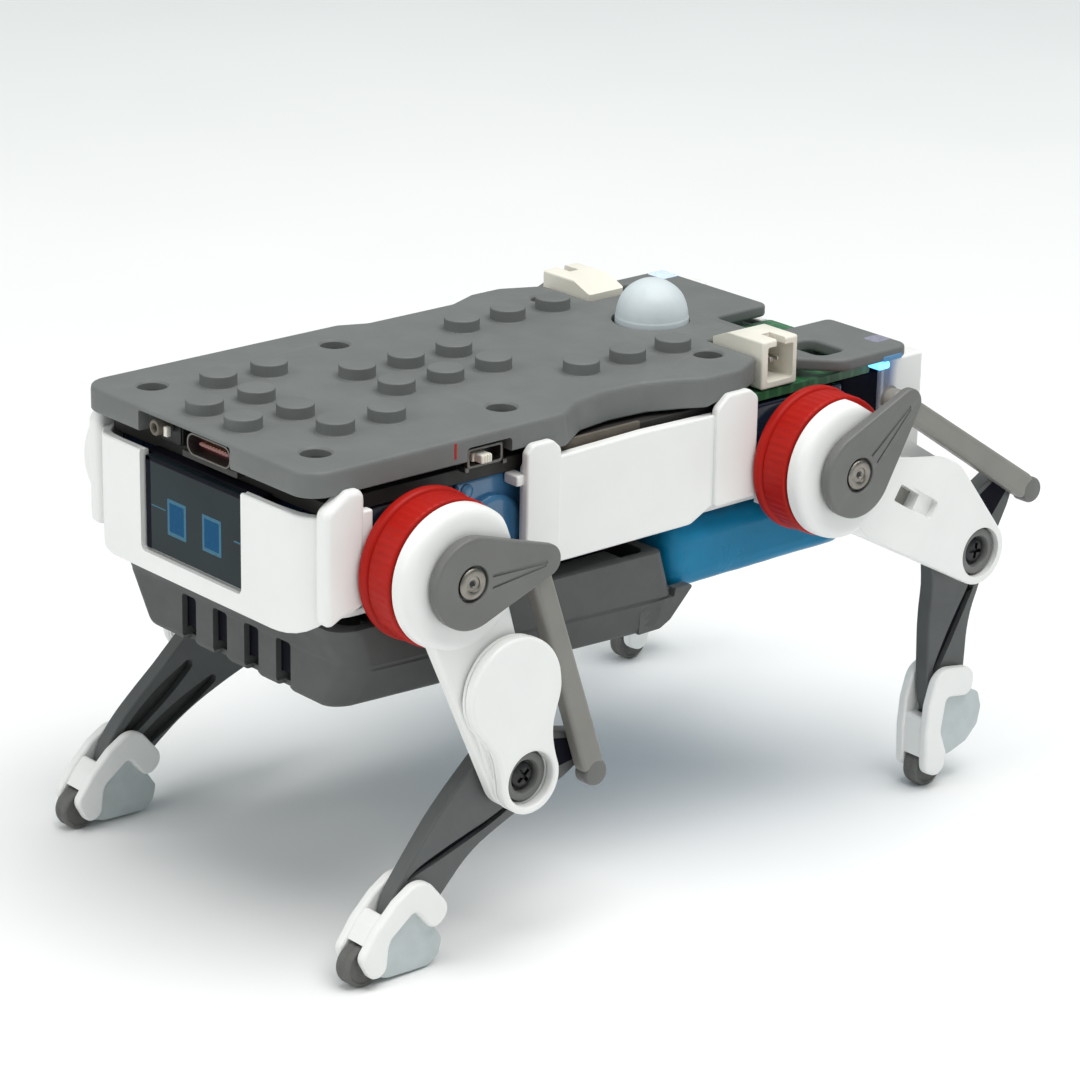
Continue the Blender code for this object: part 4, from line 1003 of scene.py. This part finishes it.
def ramped_plate():
    """Broad outer plate of a thigh without a cap: it rises from the hip's level to the knee's."""
    plate = prism("X", around((-0.4, -9.0, 5.6), (1.5, -17.0, 7.1), (0.0, -THIGH_LENGTH, 4.6)), 32.9, 35.2, rim=0.4, steps=4)
    plate = cut(plate, block((32.0, 33.5), (3.2, 12.0), (-28.0, -9.5)))
    slope = [(35.21 - 1.75 * (1 - smoothstep((k + 0.5) / 18.5)), -8.5 - 8.5 * k / 18.0) for k in range(19)]
    return cut(plate, prism("Y", [(slope[0][0], -2.0)] + slope + [(37.0, -17.0), (37.0, -2.0)], -12.0, 14.0, rim=0.0))


def thigh_shape(capped):
    barrel = turned("X", [
        (0.0, 33.6), (7.7, 33.6), (8.25, 33.55), (8.7, 33.4), (9.02, 33.12), (9.2, 32.75), (9.25, 32.3), (9.25, 31.3),
        (9.1, 31.1), (0.0, 31.1)], 96)
    barrel = cut(barrel, block((30.0, 35.0), (8.1, 12.0), (-12.0, 12.0)))
    arm = around((-0.6, -3.0, 6.4), (-0.4, -17.0, 5.2), (0.0, -THIGH_LENGTH, 4.5))
    thigh = join(barrel, prism("X", arm, 31.2, 33.3, rim=0.55, steps=4))
    neck = around((0.1, -17.0, 4.8), (0.0, -THIGH_LENGTH, 4.3))
    thigh = join(thigh, prism("X", neck, 32.5, 34.0, rim=0.1))
    if capped:
        thigh = join(thigh, prism("X", necked(7.1, 4.6), 33.7, 34.2, rim=0.15))
    else:
        thigh = join(thigh, ramped_plate())
        # clip slot
        thigh = cut(thigh, prism("X", box_outline((0.1, 2.7), (-16.8, -10.6), 0.5, 4), 34.2, 36.0, rim=0.0))
        thigh = cut(thigh, prism("X", box_outline((-0.1, 2.3), (-13.7, -10.2), 0.2, 3), 32.5, 36.0, rim=0.0))
    return cut(thigh, disc("X", 2.6, 30.0, 37.0, 0.0, 0.0, 40),
               disc("X", 3.5, 30.0, 37.0, 0.0, -THIGH_LENGTH, 48))


def cap_shape():
    plate = necked(7.2, 4.6)
    return prism("X", plate, 34.24, 35.9, holes=[circle(0.0, -THIGH_LENGTH, 3.6, 56)], rim=0.45, steps=4)


def crank_shape():
    outline = around((0.0, 0.0, 5.85), (LINK_R, 0.0, 2.1), n=96)
    bm = prism("X", outline, 33.9, 35.5, rim=0.32, steps=3)
    for v in bm.verts:
        # the arm thins towards the pin
        if v.co.x > 34.6:
            v.co.x -= 0.28 * smoothstep((v.co.y - 5.0) / 8.0)
    grooves = [moved(block((-0.2, 1.0), (0.0, reach), (-wide, wide)), Matrix.Rotation(math.radians(tilt), 4, "X"),
                     Matrix.Translation((35.37, 3.0, start)))
               for reach, wide, tilt, start in ((8.8, 0.2, -2.5, 0.35), (8.6, 0.16, 5.0, -1.15))]
    bm = cut(bm, *grooves, turned("X", [(0.0, 37.0), (2.55, 37.0), (2.55, 35.5), (2.35, 35.3), (2.3, 34.6), (0.0, 34.6)], 48))
    return gather(bm, turned("X", [(0.0, 34.2), (2.2, 34.2), (2.2, 23.5), (2.1, 23.4), (0.0, 23.4)], 32))


def crank_pin_shape():
    """Pin on the inner side of the crank, with its washer."""
    return gather(
        turned("X", [(0.0, 34.3), (0.8, 34.3), (0.8, 31.35), (0.75, 31.3), (0.0, 31.3)], 24, a=LINK_R),
        turned("X", [(0.0, 34.2), (1.7, 34.2), (1.7, 33.62), (1.6, 33.5), (0.0, 33.5)], 32, a=LINK_R))


def crank_screw_shape():
    """Machine screw head with a stepped socket."""
    return turned("X", [(0.0, 35.02), (0.42, 35.02), (0.5, 35.16), (0.95, 35.2), (1.02, 35.36), (1.2, 35.46), (1.62, 35.48),
                        (1.86, 35.4), (2.0, 35.22), (2.0, 34.9), (0.6, 34.88), (0.6, 30.5), (0.0, 30.4)], 48)


def socket_shape():
    return turned("X", [(0.0, 35.05), (0.40, 35.05), (0.40, 34.98), (0.0, 34.98)], 6)


def rod_shape():
    outline = around((0.0, 0.0, 1.55), (0.0, -THIGH_LENGTH - 1.4, 1.75))
    return prism("X", outline, 31.1, 33.4, holes=[circle(0.0, 0.0, 1.1, 32)], rim=0.62, steps=5)


def rod_knob():
    """Round knob past the rod's lower eye."""
    return turned("X", [(0.0, 33.5), (1.25, 33.5), (1.6, 33.4), (1.78, 33.15), (1.8, 32.9), (1.8, 31.3), (1.65, 31.15),
                        (0.0, 31.15)], 40, b=-THIGH_LENGTH - 3.15)


LEVER = (LINK_R * math.cos(math.radians(LEVER_ANGLE)), LINK_R * math.sin(math.radians(LEVER_ANGLE)))


POCKETS = (
    [(3.9, -5.4, 0.7), (3.0, -10.0, 1.15), (2.4, -15.0, 1.2), (2.1, -20.0, 0.8)],
    [(-0.9, -6.6, 0.8), (-1.1, -11.0, 1.25), (-1.0, -15.6, 1.2), (-0.7, -20.6, 0.7)])


def set_back(bm, end):
    """The rear shanks' blades lie a little further back than the front ones."""
    if end == "rear":
        for v in bm.verts:
            v.co.y += 0.9 * smoothstep((-v.co.z - 1.0) / 6.0)
    return bm


# black plates on the floors of the shank's inner pockets: painted shade in the pockets
def pocket_shade_floors(end):
    floors = gather(*[prism("X", stroke(path, 5, 6), 29.42, 29.52, rim=0.0) for path in POCKETS])
    return set_back(splay(floors), end)


def shank_groove(end):
    wide = 1.0 if end == "rear" else 0.7
    return stroke([(4.6, -3.0, 0.5 * wide), (3.5, -6.4, 0.62 * wide), (2.1, -9.8, 0.72 * wide), (0.3, -13.6, 0.75 * wide),
                   (-1.3, -17.0, 0.6 * wide), (-1.9, -19.0, 0.3 * wide)], 5, 6)


def shank_painted_shade(end):
    """Floor of the shank's groove and the sunk face of its lever, in black: painted shade."""
    floor_strip = prism("X", shank_groove(end), 29.98, 30.04, rim=0.0)
    face = prism("X", around((LEVER[0] * 0.42, LEVER[1] * 0.42, 2.5), (LEVER[0] * 0.9, LEVER[1] * 0.9, 1.5)), 30.74, 30.84, rim=0.02)
    return gather(set_back(splay(floor_strip), end), face)


def shank_shape(end):
    blade = (
        arc(*LEVER, 2.2, -35.0, 139.0, 18)
        + arc(0.0, 0.0, 4.6, 128.0, 184.0, 12)
        + along([(-4.4, -2.0), (-4.2, -6.2), (-4.0, -9.2), (-3.8, -12.1), (-3.5, -15.0), (-3.1, -18.0), (-2.5, -20.8),
                 (-1.7, -22.8), (-0.8, -24.1)], 3)
        + along([(0.8, -24.2), (2.4, -23.2), (3.5, -21.6), (4.2, -18.5), (4.2, -15.5), (4.2, -12.5), (4.7, -8.8),
                 (6.1, -3.9), (7.8, 1.0), (9.2, 5.2)], 3)
    )
    bm = prism("X", blade, 28.4, 30.8, rim=0.3, steps=3)
    groove = shank_groove(end)
    inner_a = stroke(POCKETS[0], 5, 6)
    inner_b = stroke(POCKETS[1], 5, 6)
    bm = cut(bm, prism("X", groove, 30.0, 32.0, rim=0.0))
    bm = cut(bm, prism("X", inner_a, 27.0, 29.5, rim=0.0), prism("X", inner_b, 27.0, 29.5, rim=0.0))
    bm = set_back(splay(bm), end)
    boss = turned("X", [(0.0, 33.3), (1.95, 33.3), (2.05, 33.4), (2.1, 34.35), (2.25, 34.55), (2.45, 34.6), (2.95, 34.6),
                        (3.13, 34.52), (3.2, 34.35), (3.2, 30.4), (0.0, 30.4)], 56)
    pin = turned("X", [(0.0, 33.2), (0.7, 33.2), (0.8, 33.1), (0.8, 30.4), (0.0, 30.4)], 24, a=LEVER[0], b=LEVER[1])
    return join(bm, pin), boss


def knee_screw_shape():
    return gather(cross_head(1.75, 33.45, 34.3, 0.0, 0.0, "X", 0.25, 0.5))


def toe_spot(end):
    """The toe centre in the shank's frame, where the roller stands on the floor."""
    knee_z = HIP_Z - THIGH_LENGTH * math.cos(math.radians(THIGH[end]))
    turn = math.radians(SHANK[end])
    return TOE_BACK, (TOE_R - DECK_HEIGHT - knee_z + TOE_BACK * math.sin(turn)) / math.cos(turn)


CHEEK = {
    "front": [(-1.2, -30.7, 1.5), (3.0, -31.5, 1.45), (3.1, -29.0, 1.4), (0.55, -26.4, 2.2), (0.75, -21.4, 0.8), (5.4, -21.4, 1.5),
              (5.6, -17.6, 1.9), (-1.9, -17.6, 2.9), (-2.6, -22.5, 3.0), (-2.3, -26.5, 3.0)],
    "rear": [(-1.1, -32.1, 1.5), (2.5, -33.1, 1.6), (2.7, -29.5, 1.5), (0.75, -26.2, 2.2), (0.8, -21.3, 0.8), (5.6, -21.3, 1.5),
             (5.8, -17.1, 2.1), (-1.9, -17.1, 2.9), (-2.6, -22.5, 3.0), (-2.3, -26.5, 3.0)],
}
HEEL_TAIL = {
    "front": [(5.9, -20.7, 0.6), (8.1, -20.9, 1.0), (9.35, -22.6, 1.0), (9.15, -24.6, 1.0), (7.3, -26.8, 1.5), (5.0, -29.4, 1.2),
              (3.0, -30.6, 0.8)],
    "rear": [(6.0, -20.7, 0.6), (8.2, -21.2, 1.2), (9.3, -23.4, 1.2), (9.2, -26.0, 1.4), (7.4, -28.4, 1.5), (4.6, -29.8, 1.0),
             (2.6, -30.4, 0.8)],
}


def foot_shape(end):
    """Two cane cheeks closed in front by a shin, with a slot for the toe roller."""
    y, z = toe_spot(end)
    cheek = rounded(CHEEK[end], 8)
    bm = join(prism("X", cheek, 27.4, 28.9, rim=0.45, steps=4), prism("X", cheek, 31.8, 33.3, rim=0.45, steps=4))
    shin = rounded([(-2.15, -24.4, 0.5), (-2.0, -26.6, 2.0), (-0.95, z + 0.2, 0.4), (0.2, z + 0.4, 0.2), (0.2, -26.4, 0.3),
                    (0.3, -24.4, 0.3)], 5)
    bm = join(bm, prism("X", shin, 28.5, 32.2, rim=0.12))
    return cut(bm, disc("X", 3.1, 28.9, 31.8, y, z, 56))


def heel_shape(end):
    """Frosted web behind the cheeks, with skins that fill the hook."""
    web = rounded([(-0.6, -24.95, 0.4), (0.2, -28.0, 0.5)] + HEEL_TAIL[end][::-1] + [(4.8, -21.4, 0.5), (3.4, -24.95, 0.9)], 5)
    bm = cut(prism("X", web, 28.7, 31.7, rim=0.3, steps=4), disc("X", 3.2, 28.0, 33.0, *toe_spot(end), 48))
    skin = rounded([(0.0, -21.0, 0.3), (-0.1, -26.6, 0.5), (1.0, -28.6, 0.5)] + HEEL_TAIL[end][::-1] + [(4.9, -20.9, 0.4)], 5)
    return gather(bm, *[prism("X", skin, x, x + 0.61, rim=0.2, steps=4) for x in (28.45, 31.64)])


def toe_shape(end):
    profile = [(0.0, 31.6), (1.0, 31.6), (1.15, 31.45), (2.05, 31.45), (2.2, 31.6), (2.42, 31.58), (2.62, 31.4),
               (2.69, 31.1), (2.69, 30.75), (2.6, 30.6), (2.6, 30.1), (2.69, 29.95), (2.69, 29.6), (2.62, 29.3),
               (2.42, 29.12), (2.2, 29.1), (2.05, 29.25), (1.15, 29.25), (1.0, 29.1), (0.0, 29.1)]
    y, z = toe_spot(end)
    return turned("X", profile, 64, a=y, b=z)


ring_bm, cap_bm, crank_bm = ring_shape(), cap_shape(), crank_shape()
thigh_bm = {"front": thigh_shape(True), "rear": thigh_shape(False)}
screw_bm, socket_bm, rod_bm = crank_screw_shape(), socket_shape(), rod_shape()
knee_bm, knob_bm, crank_pin_bm = knee_screw_shape(), rod_knob(), crank_pin_shape()
shank_bm, pocket_bm, shank_shade_bm, foot_bm, heel_bm, toe_bm = (
    {end: shape(end) for end in ("front", "rear")}
    for shape in (shank_shape, pocket_shade_floors, shank_painted_shade, foot_shape, heel_shape, toe_shape))


def axis_place(y, z, angle):
    return DECK @ Matrix.Translation((0.0, y, z)) @ Matrix.Rotation(math.radians(angle), 4, "X")


for end in ("front", "rear"):
    thigh_angle, shank_angle = THIGH[end], SHANK[end]
    knee = (HIP_Y[end] + THIGH_LENGTH * math.sin(math.radians(thigh_angle)),
            HIP_Z - THIGH_LENGTH * math.cos(math.radians(thigh_angle)))
    crank_angle = LEVER_ANGLE - shank_angle
    pin = (HIP_Y[end] + LINK_R * math.cos(math.radians(crank_angle)),
           HIP_Z + LINK_R * math.sin(math.radians(crank_angle)))
    at_hip = axis_place(HIP_Y[end], HIP_Z, thigh_angle)
    at_pin = axis_place(HIP_Y[end], HIP_Z, crank_angle)
    # the arm is set a little past the line to its pin
    at_crank = axis_place(HIP_Y[end], HIP_Z, crank_angle + (3.0 if end == "front" else 1.0))
    at_rod = axis_place(*pin, thigh_angle)
    at_knee = axis_place(*knee, -shank_angle)
    for name, flip in (("left", Matrix.Identity(4)), ("right", MIRROR)):
        leg = f"{end}_{name}"
        upper, arm, link, lower = (f"{kind}_{leg}" for kind in ("upper_leg", "crank_arm", "link", "lower_leg"))
        piece(f"ring_{leg}", ring_bm.copy(), RED, upper, [f"hip_ring_{leg}"], flip @ at_hip, 40.0)
        piece(f"thigh_shell_{leg}", thigh_bm[end].copy(), WHITE, upper, [f"thigh_{leg}"], flip @ at_hip)
        if end == "rear":
            back = prism("X", rounded([(-3.0, -22.0, 1.0), (5.0, -22.0, 1.0), (8.5, -18.0, 2.0), (8.2, -7.0, 0.6), (8.1, -2.0, 0.3),
                                       (-3.0, -2.0, 1.0)], 5), 30.84, 31.06, rim=0.04)
            piece(f"thigh_back_{leg}", back, WHITE, upper, (), flip @ at_hip)
            piece(f"thigh_clip_{leg}", brick((32.4, 32.62), (0.0, 2.2), (-13.6, -10.3), 0.05), ROD, upper, (), flip @ at_hip)
        if end == "front":
            piece(f"cap_{leg}", cap_bm.copy(), WHITE, upper, [f"thigh_cap_{leg}"], flip @ at_hip)
        piece(f"crank_plate_{leg}", crank_bm.copy(), LINK, arm, [f"crank_{leg}"], flip @ at_crank)
        piece(f"crank_pin_{leg}", crank_pin_bm.copy(), LINK, arm, (), flip @ at_pin)
        piece(f"crank_bolt_{leg}", screw_bm.copy(), WARM_STEEL, arm, [f"crank_screw_{leg}"], flip @ at_crank)
        piece(f"crank_socket_{leg}", socket_bm.copy(), BLACK_STEEL, arm, (), flip @ at_crank)
        piece(f"rod_{leg}", rod_bm.copy(), ROD, link, [f"push_rod_{leg}"], flip @ at_rod)
        piece(f"rod_knob_{leg}", knob_bm.copy(), LINK, link, (), flip @ at_rod)
        piece(f"shank_blade_{leg}", shank_bm[end][0].copy(), DARK, lower, [f"shank_{leg}"], flip @ at_knee)
        piece(f"knee_boss_{leg}", shank_bm[end][1].copy(), LINK, lower, (), flip @ at_knee)
        piece(f"shank_painted_shade_{leg}", shank_shade_bm[end].copy(), BLACK_AND_SHADE, lower, (), flip @ at_knee)
        piece(f"shank_pocket_shade_{leg}", pocket_bm[end].copy(), BLACK, lower, (), flip @ at_knee)
        piece(f"knee_bolt_{leg}", knee_bm.copy(), BLACK_STEEL, lower, [f"knee_screw_{leg}"], flip @ at_knee)
        piece(f"foot_cheeks_{leg}", foot_bm[end].copy(), WHITE, lower, [f"foot_{leg}"], flip @ at_knee)
        piece(f"heel_{leg}", heel_bm[end].copy(), HEEL, lower, (), flip @ at_knee)
        piece(f"toe_{leg}", toe_bm[end].copy(), RUBBER, lower, [f"toe_pad_{leg}"], flip @ at_knee)

# --------------------------------------------------------------------- studio
def floor():
    bm = bmesh.new()
    bmesh.ops.create_grid(bm, x_segments=24, y_segments=24, size=6.0)
    obj = to_object(bm, "studio_floor")
    bpy.context.scene.collection.objects.link(obj)
    f = Finish("pale_floor")
    tone = f.blend(f.spread(f.noise(300.0, 3.0), 0.0, 1.0), (0.90, 0.905, 0.91), (0.93, 0.93, 0.93))
    f.link(tone, f.shader.inputs["Base Color"])
    f.link(f.spread(f.noise(60.0, 3.0), 0.55, 0.65), f.shader.inputs["Roughness"])
    f.link(f.bump(f.noise(1.5, 3.0), 0.01, 0.2), f.shader.inputs["Normal"])
    obj.data.materials.append(f.material)


floor()


def softbox(name, place, target, size, power, colour=(1.0, 1.0, 1.0)):
    data = bpy.data.lights.new(name, "AREA")
    data.shape = "SQUARE"
    data.size = size
    data.energy = power
    data.color = colour
    obj = bpy.data.objects.new(name, data)
    obj.location = place
    obj.rotation_euler = (Vector(target) - Vector(place)).to_track_quat("-Z", "Y").to_euler()
    bpy.context.scene.collection.objects.link(obj)


softbox("top_light", (0.22, 0.08, 0.95), (0.0, 0.0, 0.02), 0.85, 9.9, (1.0, 0.98, 0.962))
softbox("front_fill", (-0.35, -0.95, 0.60), (0.0, 0.0, 0.04), 0.9, 4.5, (1.0, 0.985, 0.965))
softbox("side_fill", (1.0, -0.1, 0.40), (0.0, 0.0, 0.04), 0.8, 0.6, (1.0, 0.985, 0.965))

world = bpy.data.worlds.new("studio")
world.use_nodes = True
world.node_tree.nodes["Background"].inputs["Color"].default_value = (0.87, 0.985, 0.995, 1.0)
world.node_tree.nodes["Background"].inputs["Strength"].default_value = 0.36
bpy.context.scene.world = world
bpy.context.scene.view_settings.view_transform = "Standard"

# --------------------------------------------------------------------- camera
azimuth, elevation, roll = (math.radians(v) for v in (48.817, 19.805, 1.005))
focal, shift_x, shift_y, distance = 3817.944, -32.809, 16.474, 474.265
back = Vector((math.sin(azimuth) * math.cos(elevation), -math.cos(azimuth) * math.cos(elevation), math.sin(elevation)))
level = Vector((math.cos(azimuth), math.sin(azimuth), 0.0))
above = back.cross(level)
right = level * math.cos(roll) + above * math.sin(roll)
up = above * math.cos(roll) - level * math.sin(roll)
eye = -(right * shift_x + up * shift_y - back * distance) + DECK.to_translation()
data = bpy.data.cameras.new("photo_camera")
data.sensor_width = 36.0
data.sensor_fit = "HORIZONTAL"
data.lens = focal / 1080.0 * 36.0
data.clip_start = 0.01
data.clip_end = 50.0
camera = bpy.data.objects.new("photo_camera", data)
camera.matrix_world = Matrix((
    (right.x, up.x, back.x, eye.x * MM), (right.y, up.y, back.y, eye.y * MM),
    (right.z, up.z, back.z, eye.z * MM), (0.0, 0.0, 0.0, 1.0)))
bpy.context.scene.collection.objects.link(camera)
bpy.context.scene.camera = camera
